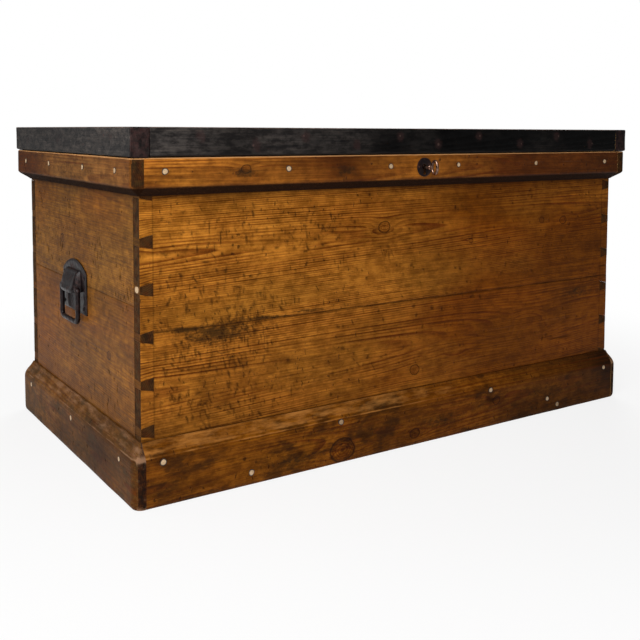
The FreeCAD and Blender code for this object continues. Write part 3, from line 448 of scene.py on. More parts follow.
# Reddish tints on the front, in the same order
FRONT_PATINA = (
    (636, 150, 62, 11, 40, 0.55), (860, 320, 110, 60, 80, 0.45), (400, 250, 120, 60, 90, 0.12),
)
FRONT_KNOTS = ((406, 355, 9, 2.2), (815, 345, 7, 1.4), (760, 348, 5, 1.0), (590, 322, 4, 0.8))
LOWER_KNOTS = ((730, 165, 34, 3.2), (560, 120, 24, 1.8), (470, 118, 8, 0.6))


def scattered(seed, count, along, across, long=(2.2, 7.5), wide=(0.85, 1.9), lean=26, gather=1.6, group=6, spread=9.0):
    """Drawn scratches in the rows' order, in loose groups: along and across are ranges in mm, gathered towards the
    first end; each group has its own middle and lean, and its scratches lie about `spread` mm from the middle."""
    draw = np.random.default_rng(seed)
    groups = max(1, count // group)
    middle_u = along[0] + (along[1] - along[0]) * draw.uniform(0, 1, groups) ** gather
    middle_v = draw.uniform(*across, groups)
    slant = draw.normal(0, lean, groups)
    own = draw.integers(0, groups, count)
    size = draw.uniform(0, 1, count) ** 1.8
    return np.stack([
        middle_u[own] + draw.normal(0, spread * 1.5, count),
        middle_v[own] + draw.normal(0, spread, count),
        long[0] + (long[1] - long[0]) * size,
        wide[0] + (wide[1] - wide[0]) * draw.uniform(0, 1, count),
        slant[own] + draw.normal(0, lean * 0.5, count),
        draw.uniform(0.45, 1.0, count),
    ], 1)


# Mesh layers beneath a face, in mm; and how close to a face or an edge a point counts as on it
FACE_LAYERS = (0, 0.45, 0.9, 4)
ON_FACE = 0.1 * MM
# The front's mesh cells are taller than wide, as its marks are; extra rows lie where the painted shade line in the
# crease above the plinth is
CELL_HEIGHT_SHARE, END_CELL_SHARE = 1.5, 0.9
CREASE_SHADE_ROWS = np.array([-1.0, 0.5, 2.0]) * MM
# The painted shade line's height over the plinth and its width, and the reach of the painted shadow under the band
CREASE_SHADE_ABOVE, CREASE_SHADE_WIDTH, BAND_SHADOW_REACH = 0.5 * MM, 1.2 * MM, 4 * MM
# Lines: the dip and the dark of the plank joint, the one scribed behind the pins, and the corner joint's
SEAM_REACH, JOINT_WIDTH, SCRIBE_WIDTH, CORNER_LINE = 0.9 * MM, 1.5 * MM, 0.6 * MM, 0.8 * MM
# The least radius of a board's arris, and what keeps its top and foot, where boards meet, from being rounded
LEAST_ARRIS = 0.3 * MM
NO_ARRIS = np.array([0, 0, 5 * MM])
# How much narrower a pin is than its socket at each side, and the height in which the flare fades at a board's edge
PIN_SLACK, FLARE_WINDOW = 0.2 * MM, 1.5 * MM


def painted_shade_and_dark_top(level):
    """Painted shade: a dark line in the crease along the top of the plinth and a painted shadow under the band; and
    darker wood on the carcass's top edges.
    """
    over = 0.85 * np.exp(-(((level - PLINTH_TOP - CREASE_SHADE_ABOVE) / CREASE_SHADE_WIDTH) ** 2))
    shade = 0.7 * np.exp(-np.abs(BAND_FOOT - level) / BAND_SHADOW_REACH)
    return np.maximum.reduce([over, shade, 0.45 * (level > CARCASS_TOP - 2 * ON_FACE)])


def pin_rows(z, side):
    """True for the cells between grid lines z that lie in a pin of that corner."""
    return np.abs(middles(z)[:, None] - PINS[side]).min(1) < PIN_HALF


def flare(points, side, reach, low, high):
    """Height that the rows beside that corner's pins are moved by: reach above a pin, minus reach below it, fading
    to nothing at its middle, half-way to the next pin and at the board's own edges."""
    z = points[:, 2]
    nearest = PINS[side][np.abs(z[:, None] - PINS[side]).argmin(1)]
    hat = np.interp(np.abs(z - nearest), [0, PIN_HALF, PIN_PITCH / 2], [0, 1, 0]) * np.sign(z - nearest)
    free = np.clip(np.minimum(z - low, high - z) / FLARE_WINDOW, 0, 1)
    return reach * hat * free


def pin_lines(low, high):
    """Heights of the pins' upper and lower edges that lie in the board."""
    edges = np.concatenate([PINS[side] + way * PIN_HALF for side in (-1, 1) for way in (-1, 1)])
    return edges[(edges > low + LEAST_ARRIS) & (edges < high - LEAST_ARRIS)]


def worn_corners(board, points, shaped, seed):
    """A dovetailed board with its upright arrises rounded by an uneven radius."""
    radius = bpy.context.scene.chest_sizes.arris * (0.8 + 0.5 * drift(points, 0.05, seed))
    return round_arrises(shaped, board.low - NO_ARRIS, board.high + NO_ARRIS, np.clip(radius, LEAST_ARRIS, None))


def tail_board(node, step, material, marks, stains, patina, knots, heart, depth, seed):
    """A front or back board: its ends are cut away round the pins, and its face is dented and worn."""
    sizes = bpy.context.scene.chest_sizes
    board = Board(node)
    low, high = board.low, board.high
    x = grid_lines(low[0], high[0], step, keep=(-END_INSIDE, END_INSIDE))
    y = board.layers(*FACE_LAYERS)
    rows = [*pin_lines(low[2], high[2]), *(PLINTH_TOP + CREASE_SHADE_ROWS)]
    z = grid_lines(low[2], high[2], step * CELL_HEIGHT_SHARE, keep=rows)
    filled = np.ones((len(x) - 1, len(y) - 1, len(z) - 1), bool)
    for side in (-1, 1):
        filled[np.ix_(middles(x) * side > END_INSIDE, [True] * (len(y) - 1), pin_rows(z, side))] = False
    points, quads = lattice(x, y, z, filled)
    shaped = points.copy()
    for side in (-1, 1):
        inwards = HALF_WIDTH - side * points[:, 0]
        reach = np.interp(inwards, [0, END_THICK, END_THICK + PIN_FADE], [-PIN_FLARE, PIN_FLARE, 0])
        shaped[:, 2] += flare(points, side, reach, low[2], high[2])
    shaped = worn_corners(board, points, shaped, seed)
    u, v = board.along(points), points[:, 2]
    scratch = spots(u, v, marks)
    seam = np.exp(-np.abs(v - JOINT_LEVEL) / SEAM_REACH)
    pressed = face_relief(board, points, sizes, seed, scratch)
    pressed += sizes.seam_dip * seam * (board.beneath(points) < ON_FACE)
    shaped[:, 1] -= board.outward * pressed
    # The plank joint's broken line, the scribed line behind the pins, painted shade along the plinth's crease and under
    # the band, and darker, redder wood to the right and below: partly aged wood, partly painted shade where the light
    # falls off
    joint = np.exp(-(((v - JOINT_LEVEL) / JOINT_WIDTH) ** 2)) * (0.75 + 0.35 * drift(points, 0.03, seed + 2))
    scribe = 0.45 * np.exp(-((np.abs(points[:, 0]) - END_INSIDE) / SCRIBE_WIDTH) ** 2)
    aged_and_shaded = 0.92 * smooth(u, 0.10, 0.85) + 0.30 * smooth(-v, -0.36, -0.09) + spots(u, v, patina, soft=1.0)
    values = {
        "mark": np.maximum.reduce([scratch, scribe, painted_shade_and_dark_top(v), joint]),
        "stain": spots(u, v, stains, soft=1.0),
        "patina": np.clip(aged_and_shaded + 0.25 * drift(points, 0.3, seed + 1), 0, 1.3),
    }
    return wood_piece(board, points, quads, shaped, material, "chest", heart, depth, knots, values)


def pin_board(node, step, material, marks, stains, knots, heart, depth, seed):
    """An end board: its ends are cut to a comb of pins that widen inwards, and its face is dented and worn."""
    sizes = bpy.context.scene.chest_sizes
    board = Board(node)
    low, high, side, front_thick = board.low, board.high, board.outward, FRONT_INSIDE - FRONT
    x = board.layers(*FACE_LAYERS, 10)
    y = grid_lines(low[1], high[1], step, keep=(FRONT_INSIDE, BACK_INSIDE))
    z = grid_lines(low[2], high[2], step * END_CELL_SHARE, keep=pin_lines(low[2], high[2]))
    filled = np.ones((len(x) - 1, len(y) - 1, len(z) - 1), bool)
    outside = (middles(y) < FRONT_INSIDE) | (middles(y) > BACK_INSIDE)
    filled[np.ix_([True] * (len(x) - 1), outside, ~pin_rows(z, side))] = False
    points, quads = lattice(x, y, z, filled)
    shaped = points.copy()
    from_end = np.minimum(points[:, 1] - low[1], high[1] - points[:, 1])
    beneath = board.beneath(points)
    fade = np.interp(from_end, [0, front_thick, front_thick + PIN_FADE], [1, 1, 0])
    reach = np.interp(beneath, [0, END_THICK], [-PIN_FLARE, PIN_FLARE]) - PIN_SLACK
    shaped[:, 2] += flare(points, side, reach * fade, low[2], high[2])
    shaped = worn_corners(board, points, shaped, seed)
    u, v = board.along(points), points[:, 2]
    scratch = spots(u, v, marks)
    is_lower = low[2] < CARCASS_FLOOR + MM
    seam = np.exp(-np.abs(v - (high[2] if is_lower else low[2])) / SEAM_REACH)
    pressed = face_relief(board, points, sizes, seed, scratch)
    pressed += sizes.seam_dip * seam * (beneath < ON_FACE)
    shaped[:, 0] -= side * pressed
    shaped[:, 1] += sizes.pin_proud * (from_end < ON_FACE) * np.sign(points[:, 1])
    corner_line = 0.9 * np.exp(-(((from_end - front_thick) / CORNER_LINE) ** 2))
    corner_dirt = 0.5 * (from_end < front_thick - 2 * ON_FACE) * (beneath < 5 * ON_FACE)
    # The marks include painted shade: a dark line in the crease above the plinth and a painted shadow under the band
    values = {
        "mark": np.maximum.reduce([scratch, painted_shade_and_dark_top(v), 0.85 * seam**2, corner_line, corner_dirt]),
        "stain": spots(u, v, stains, soft=1.0),
        "patina": np.clip((0.65 if is_lower else 0.2) + 0.4 * drift(points, 0.3, seed + 1), 0, 1),
    }
    return wood_piece(board, points, quads, shaped, material, "chest", heart, depth, knots, values)


# A moulding's offset from the carcass as a share of its thickness: at the thin edge, and the least of all
THIN_EDGE, LEAST_OFFSET = 0.04, 0.035
# Over what height the crest is smoothed, and how deep and how far from the flat's edge it is worn: band and plinth
BAND_CREST, PLINTH_CREST = 2.5 * MM, 6.5 * MM
BAND_WORN, BAND_WORN_REACH, PLINTH_WORN, PLINTH_WORN_REACH = 0.09, 0.8 * MM, 0.2, 2.6 * MM
MOULDING_DENT = 0.5 * MM
# Reach of the pale wear at the crest, at the flat's edge and at a piece's ends, and the width of the band's pale top
# line, worn wood and a painted highlight
CREST_WEAR, FLAT_WEAR, END_WEAR, TOP_LINE = 3 * MM, 2 * MM, 3 * MM, 2.1 * MM
# Where smooth steps start and end: painted shade on the band's top behind its top line, painted shade below the crest,
# bare wood and end bevel
BEHIND_LINE, BEVEL_SHADE_STEP = (0.5 * MM, 2 * MM), (-1.5 * MM, 1.5 * MM)
BARE_BEVEL, BARE_END = (-6 * MM, 6 * MM), (-2 * MM, 3 * MM)
# Extra rows round the crest, layers from a side piece's outer face inwards as shares of its thickness, and the depth
# of the wood's heart behind the face
CREST_ROWS = np.array([-5, -2, 0, 2, 5]) * MM
CREST_LAYERS = np.array([0, 0.1, 0.25, 0.5, 0.75, 1.0])
MOULDING_HEART = 0.03


def profile(z, levels, down):
    """A moulding's offset by height: 1 on its flat, falling to the thin edge past the crest, with the crest smoothed
    over a few mm and the flat's own edge worn round."""
    offsets = [THIN_EDGE, 1, 1] if down else [1, 1, THIN_EDGE]
    spread = np.linspace(-1, 1, 9) * (BAND_CREST if down else PLINTH_CREST)
    offset = np.mean([np.interp(z + shift, levels, offsets) for shift in spread], 0)
    from_flat = np.abs(z - levels[2 if down else 0])
    if down:
        return offset - BAND_WORN * np.exp(-from_flat / BAND_WORN_REACH)
    return offset - PLINTH_WORN * np.exp(-from_flat / PLINTH_WORN_REACH)


def moulding(node, step, material, slot, corner, rise, marks, stains, knots, seed, rough):
    """A plinth or band piece. Its outer face is flat, then leans in to the carcass. The offset scales the distance
    from the carcass, sideways and at both ends, so the bevels meet on the corner's diagonal. Corners are rounded
    first. rise is the bevel's height, and is negative where the bevel is at the bottom."""
    board = Board(node)
    low, high, down, runs_across = board.low, board.high, rise < 0, board.grain == 1
    crest = (low[2] if down else high[2]) - rise
    flat_end = high[2] if down else low[2]
    z = grid_lines(low[2], high[2], step * 0.8, keep=crest + CREST_ROWS)
    if runs_across:
        near = CREST_LAYERS * abs(board.thick)
        x = np.sort(board.face - board.outward * near)
        middle = np.linspace(low[1] + near[-1], high[1] - near[-1], int((high[1] - low[1]) / step))
        y = np.unique(np.concatenate([low[1] + near, high[1] - near, middle]).round(6))
    else:
        x = grid_lines(low[0], high[0], step)
        y = board.layers(0, 0.45, 1.0, 4)
    points, quads = lattice(x, y, z)
    shaped = points.copy()
    offset = profile(points[:, 2], np.array([low[2], crest, high[2]]), down)
    offset *= 1 - 0.02 * (0.5 + 0.5 * drift(points, 0.12, seed)) * (offset > 0.5)
    offset = np.clip(offset, LEAST_OFFSET, 1)
    inner = board.face - board.outward * board.thick
    if runs_across:
        far = np.array([5.0, 0, 5.0])  # keeps all arrises but the upright outer ones from being rounded
        flat_low, flat_high = low - far, high + far
        outer = flat_high if board.outward > 0 else flat_low
        outer[0] = board.face
        shaped = round_arrises(shaped, flat_low, flat_high, corner)
        shaped[:, 2] = points[:, 2]
        for wall, outside in ((FRONT, -1), (BACK, 1)):
            past = (shaped[:, 1] - wall) * outside > 0
            shaped[past, 1] = wall + (shaped[past, 1] - wall) * offset[past]
    shaped[:, board.depth] = inner + (shaped[:, board.depth] - inner) * offset
    u, v, beneath = board.along(points), points[:, 2], board.beneath(points)
    scratch = spots(u, v, marks)
    pressed = (rough * (0.5 + 0.5 * drift(points, 0.09, seed + 3)) + MOULDING_DENT * scratch) * (offset > 0.2)
    shaped[:, board.depth] -= board.outward * pressed * np.clip(1 - beneath / RELIEF_REACH, 0, 1)
    # Wear: on the crest and the flat's edge; the band's pale top arris, worn wood and a painted highlight where light
    # catches it; the ends, and the plinth's whole bevel
    edge = np.exp(-np.abs(v - crest) / CREST_WEAR) + np.exp(-np.abs(v - flat_end) / FLAT_WEAR)
    if down:
        edge = np.maximum(0.5 * edge, 1.8 * np.exp(-(((v - flat_end) / TOP_LINE) ** 2)))
    if runs_across:
        from_end = np.minimum(points[:, 1] - low[1], high[1] - points[:, 1])
        edge += (0.1 if down else 0.8) * np.exp(-from_end / END_WEAR)
    if down:
        # Painted shade: on the band's top behind the pale arris, in the gap under the lid, and over the bevel
        # underneath, where the band's shadow falls
        lid_gap_shade = (v > flat_end - 2 * ON_FACE) * smooth(beneath, *BEHIND_LINE)
        scratch = np.maximum.reduce([scratch, 1.2 * lid_gap_shade, 1.25 * smooth(crest - v, *BEVEL_SHADE_STEP)])
    else:
        if runs_across:
            end_bevel = ((points[:, 1] < FRONT) | (points[:, 1] > BACK)) * smooth(v - crest, *BARE_END)
            edge = np.maximum(edge, 0.95 * end_bevel)
        # Painted light: the plinth front's pale bare bevel fades to the right, as the light falls off
        left = 0.98 if runs_across else 1 - 0.6 * smooth(u, 0.40, 0.80)
        edge = left * np.maximum(0.75 * edge, 0.68 * smooth(v - crest, *BARE_BEVEL))
    # Darker to the right: partly aged wood, partly painted shade where the light falls off
    aged_and_shaded = (0.9 if down else 0.5) * smooth(u, 0.2, 0.75) + 0.4 * drift(points, 0.25, seed + 1) + 0.15
    values = {
        "wear": np.clip(edge, 0, 1.3),
        "mark": scratch,
        "stain": spots(u, v, stains, soft=1.0),
        "patina": np.clip(aged_and_shaded, 0, 1.2),
    }
    heart = low[2] + 0.3 * (high[2] - low[2])
    return wood_piece(board, points, quads, shaped, material, "chest", heart, MOULDING_HEART, knots, values)


def painted_falloff(points):
    """Painted light: a share that grows from the left end to the right one. On the lid it takes the paint from a
    painted grey sheen at the left end, in place of the light's reflection, to black at the right; on the other plain
    boards it darkens them to the right.
    """
    return 0.1 + 0.9 * smooth(points[:, 0], -0.48, 0.08)


# The least radius of a plain board's arris; how far in from the face the rim's underside drops; and the reach of the
# painted shade along the rim's foot and of the pale line along its top, worn paint and a painted highlight
LEAST_PLAIN_ARRIS, DROP_IN, RIM_FOOT_SHADE, RIM_TOP_LINE = 0.25 * MM, 3 * MM, 1.6 * MM, 1.8 * MM


def plain_board(node, step, material, body, slot, radius, heart=None, depth=0.05, knots=(), marks=(), stains=(), seed=0,
                drop=0.0):
    """A board with square ends: its arrises are rounded, and its outer face sways and is dented. drop lowers the
    underside behind the outer face, which closes the view through the gap below it; a board with a drop also gets
    painted shade along its foot and a pale top line of worn paint and painted highlight. Its tone is painted lighter at
    the left end and darker to the right."""
    sizes = bpy.context.scene.chest_sizes
    board = Board(node)
    low, high = board.low, board.high
    lines = [grid_lines(low[a], high[a], step if a != board.depth else 0.02, edge=radius) for a in range(3)]
    points, quads = lattice(*lines)
    worn = np.clip(radius * (0.75 + 0.6 * drift(points, 0.06, seed)), LEAST_PLAIN_ARRIS, 1.1 * radius)
    shaped = round_arrises(points, low, high, worn)
    u, v, z, beneath = board.along(points), points[:, board.across], points[:, 2], board.beneath(points)
    scratch = spots(u, v, marks)
    shaped[:, board.depth] -= board.outward * face_relief(board, points, sizes, seed, scratch)
    values = {"stain": spots(u, v, stains, soft=1.0), "mark": scratch}
    if drop:
        shaped[(z < low[2] + ON_FACE) & (beneath > DROP_IN), 2] -= drop
        # Painted shade along the rim's foot, where the gap over the band lies
        values["mark"] = np.maximum(scratch, 1.3 * np.exp(-(((z - low[2]) / RIM_FOOT_SHADE) ** 2)))
        # The pale top line: worn paint and a painted highlight along the rim's top arris
        values["wear"] = np.exp(-(high[2] - z + beneath) / RIM_TOP_LINE)
    # Painted light: lighter at the left end, darker to the right
    values["patina"] = np.clip(painted_falloff(points) + 0.25 * drift(points, 0.2, seed + 1), 0, 1)
    heart = low[board.across] + 0.4 * (high - low)[board.across] if heart is None else heart
    return wood_piece(board, points, quads, shaped, material, body, heart, depth, knots, values)


# ---------------------------------------------------------------- shader nodes


def put(tree, kind, settings=None, **inputs):
    """Adds a shader node. Inputs are named with _ for a space, or iN for the Nth; a value is a socket or a constant."""
    node = tree.nodes.new("ShaderNode" + kind)
    for key, value in (settings or {}).items():
        setattr(node, key, value)
    for key, value in inputs.items():
        index = int(key[1:]) if key[0] == "i" and key[1:].isdigit() else key.replace("_", " ")
        if isinstance(value, bpy.types.NodeSocket):
            tree.links.new(value, node.inputs[index])
        else:
            socket = node.inputs[index]
            socket.default_value = tuple(value) + (1.0,) if socket.type == "RGBA" and len(value) == 3 else value
    return node


def give(node, **sockets):
    """Links sockets to a node's inputs, which are named with _ for a space."""
    for key, socket in sockets.items():
        socket.id_data.links.new(socket, node.inputs[key.replace("_", " ")])


def beside(*values):
    """The node tree of the first socket among the values."""
    return next(value.id_data for value in values if isinstance(value, bpy.types.NodeSocket))


def calc(operation, a, b=0.0, clamp=False):
    """The result of a Math node; a or b is a socket."""
    return put(beside(a, b), "Math", {"operation": operation, "use_clamp": clamp}, i0=a, i1=b).outputs[0]


def plus(a, b, clamp=False):
    return calc("ADD", a, b, clamp)


def minus(a, b):
    return calc("SUBTRACT", a, b)


def times(a, b):
    return calc("MULTIPLY", a, b)


def larger(a, b):
    return calc("MAXIMUM", a, b)


def step_between(value, low, high, to_low=0.0, to_high=1.0):
    """A smooth step of the value from low to high."""
    limits = {"i1": low, "i2": high, "i3": to_low, "i4": to_high}
    return put(beside(value), "MapRange", {"interpolation_type": "SMOOTHSTEP"}, i0=value, **limits).outputs[0]


def mix(share, a, b, mode="MIX"):
    """Two colours mixed by a share; one of the three is a socket."""
    return put(beside(share, a, b), "Mix", {"data_type": "RGBA", "blend_type": mode}, i0=share, i6=a, i7=b).outputs[2]


def multiplied(a, b):
    return mix(1.0, a, b, "MULTIPLY")


def toned(colour, share, dark, light):
    """A colour multiplied by one that runs from dark to light."""
    return multiplied(colour, mix(share, dark, light))


def blend(share, a, b):
    """Two constant colours mixed by a constant share."""
    return tuple((1 - share) * np.array(a) + share * np.array(b))


def noise(vector, scale, detail=3.0, roughness=0.55):
    return put(beside(vector), "TexNoise", Vector=vector, Scale=scale, Detail=detail, Roughness=roughness).outputs[0]


def stretched(vector, scale, turn=0.0):
    return put(beside(vector), "Mapping", Vector=vector, Scale=scale, Rotation=(0, 0, turn)).outputs[0]


def patches(vector, scale, detail, roughness, *steps):
    """A mask of patches: noise, stepped. scale is one number, or one for each axis."""
    if not np.isscalar(scale):
        vector, scale = stretched(vector, scale), 1.0
    return step_between(noise(vector, scale, detail, roughness), *steps)


def value_of(tree, name):
    return put(tree, "Attribute", {"attribute_name": name}).outputs["Fac"]


# Depth of the fine relief on wood and on pegs
WOOD_RELIEF, PEG_RELIEF = 0.5 * MM, 0.2 * MM


def bump(shader, height, distance, strength=0.6):
    give(shader, Normal=put(beside(height), "Bump", Height=height, Distance=distance, Strength=strength).outputs[0])


# ---------------------------------------------------------------- shader groups


def group(name, inputs, outputs):
    """A new node group: its tree, the sockets it takes and the node it puts out through. An input's default is a
    number, or None for a vector; every output is a number."""
    tree = bpy.data.node_groups.new(name, "ShaderNodeTree")
    for label, default in inputs.items():
        kind = "NodeSocketVector" if default is None else "NodeSocketFloat"
        socket = tree.interface.new_socket(label, in_out="INPUT", socket_type=kind)
        if default is not None:
            socket.default_value = default
    for label in outputs:
        tree.interface.new_socket(label, in_out="OUTPUT", socket_type="NodeSocketFloat")
    entry, leave = tree.nodes.new("NodeGroupInput"), tree.nodes.new("NodeGroupOutput")
    return tree, entry.outputs, leave


def use(name, **inputs):
    """Places a group beside the sockets that it takes, and gives its outputs."""
    node = beside(*inputs.values()).nodes.new("ShaderNodeGroup")
    node.node_tree = bpy.data.node_groups[name]
    for key, value in inputs.items():
        if isinstance(value, bpy.types.NodeSocket):
            give(node, **{key: value})
        else:
            node.inputs[key].default_value = value
    return node.outputs


def build_groups():
    """The effects that several finishes share."""
    # Growth rings: the dark late wood rises slowly across each ring and stops short, as in pine
    tree, given, leave = group("Growth Rings", {"Rings": 0.0, "Vector": None, "Waver": 0.5}, ("Late Wood", "Broad"))
    waver = noise(stretched(given["Vector"], (5, 60, 60)), 1.0)
    shifted = plus(given["Rings"], times(minus(waver, 0.5), given["Waver"]))
    part = calc("FRACT", shifted)
    each = put(tree, "TexWhiteNoise", {"noise_dimensions": "1D"}, W=calc("FLOOR", shifted)).outputs["Value"]
    late = times(step_between(part, 0.25, 0.86), step_between(part, 0.90, 1.0, 1.0, 0.0))
    give(leave, Late_Wood=late, Broad=each)

    # Fibres: long thin streaks, short dark pores and slow clouds of tone
    tree, given, leave = group("Wood Fibres", {"Vector": None}, ("Streaks", "Pores", "Clouds"))
    fine = noise(stretched(given["Vector"], (9, 520, 520)), 1.0, 4.0, 0.7)
    dashes = patches(given["Vector"], (45, 620, 620), 2.0, 0.55, 0.60, 0.74)
    slow = noise(stretched(given["Vector"], (2.4, 9, 9)), 1.0, 4.0, 0.6)
    give(leave, Streaks=fine, Pores=dashes, Clouds=slow)

    # Dents: short strokes across the grain, one to a cell, kept where the density is above the cell's own number
    tree, given, leave = group("Small Dents", {"Vector": None, "Density": 0.3}, ("Dents",))
    curl = put(tree, "TexNoise", Vector=given["Vector"], Scale=110.0, Detail=2.0).outputs["Color"]
    bent = stretched(curl, (1.1, 0.2, 0.6))
    found = None
    for scale in ((150, 3, 50), (110, 3, 80), (230, 3, 110)):
        warped = put(tree, "VectorMath", {"operation": "ADD"}, i0=stretched(given["Vector"], scale), i1=bent)
        cell = put(tree, "TexVoronoi", Vector=warped.outputs[0], Scale=1.0, Randomness=1.0)
        number = put(tree, "SeparateColor", Color=cell.outputs["Color"]).outputs[0]
        kept = step_between(minus(given["Density"], number), 0.0, 0.05)
        stroke = times(step_between(cell.outputs["Distance"], 0.10, 0.24, 1.0, 0.0), kept)
        found = stroke if found is None else larger(found, stroke)
    give(leave, Dents=found)

    # Worn edges: the nearness to an arris, broken up by noise
    tree, given, leave = group("Edge Wear", {"Nearness": 0.0, "Vector": None, "Amount": 0.5}, ("Bare",))
    ragged = noise(given["Vector"], 95.0, 4.0, 0.65)
    reach = plus(times(given["Nearness"], 0.75), times(ragged, 0.6))
    give(leave, Bare=step_between(minus(reach, minus(1.25, given["Amount"])), -0.05, 0.22))

    # Grime: a soft mask broken into specks and smears
    tree, given, leave = group("Grime", {"Mask": 0.0, "Vector": None, "Grain": 60.0}, ("Dirt",))
    specks = noise(stretched(given["Vector"], (0.6, 1, 1)), given["Grain"], 5.0, 0.7)
    total = plus(given["Mask"], times(minus(specks, 0.5), 1.6))
    give(leave, Dirt=times(step_between(total, 0.25, 0.85), step_between(given["Mask"], 0.02, 0.2)))

    # Iron skin: hammered tone, pits and rust
    tree, given, leave = group("Iron Skin", {"Vector": None, "Rust": 0.4}, ("Tone", "Rusted", "Height"))
    wide = noise(given["Vector"], 90.0, 4.0, 0.6)
    tight = noise(given["Vector"], 420.0, 3.0, 0.6)
    pits = put(tree, "TexVoronoi", Vector=given["Vector"], Scale=260.0).outputs["Distance"]
    spread = plus(plus(times(wide, 0.7), times(tight, 0.3)), times(given["Rust"], 0.3))
    height = plus(times(wide, 0.8), times(step_between(pits, 0.0, 0.35), 0.35))
    give(leave, Tone=wide, Rusted=step_between(spread, 0.56, 0.72), Height=height)


# ---------------------------------------------------------------- materials


def new_material(name):
    """An empty material: its tree, its Principled shader, its Object coordinates."""
    material = bpy.data.materials.new(name)
    material.use_nodes = True
    tree = material.node_tree
    tree.nodes.clear()
    shader = tree.nodes.new("ShaderNodeBsdfPrincipled")
    leave = tree.nodes.new("ShaderNodeOutputMaterial")
    tree.links.new(shader.outputs[0], leave.inputs[0])
    coords = tree.nodes.new("ShaderNodeTexCoord").outputs["Object"]
    return material, tree, shader, coords


WOOD_VALUES = ("rings", "knot", "wear", "mark", "stain", "patina", "sawn", "inside")


def wood_material(name, turned, waver):
    """What both wood finishes start from: an empty material, its coordinates, those along the grain, the values on
    the mesh, the fibres and the share of late wood with each ring's own number."""
    material, tree, shader, coords = new_material(name)
    grain = stretched(coords, (1, 1, 1), math.pi / 2) if turned else coords
    value = {key: value_of(tree, key) for key in WOOD_VALUES}
    ring = use("Growth Rings", Rings=value["rings"], Vector=grain, Waver=waver)
    return material, shader, coords, grain, value, use("Wood Fibres", Vector=grain), ring["Late Wood"], ring["Broad"]


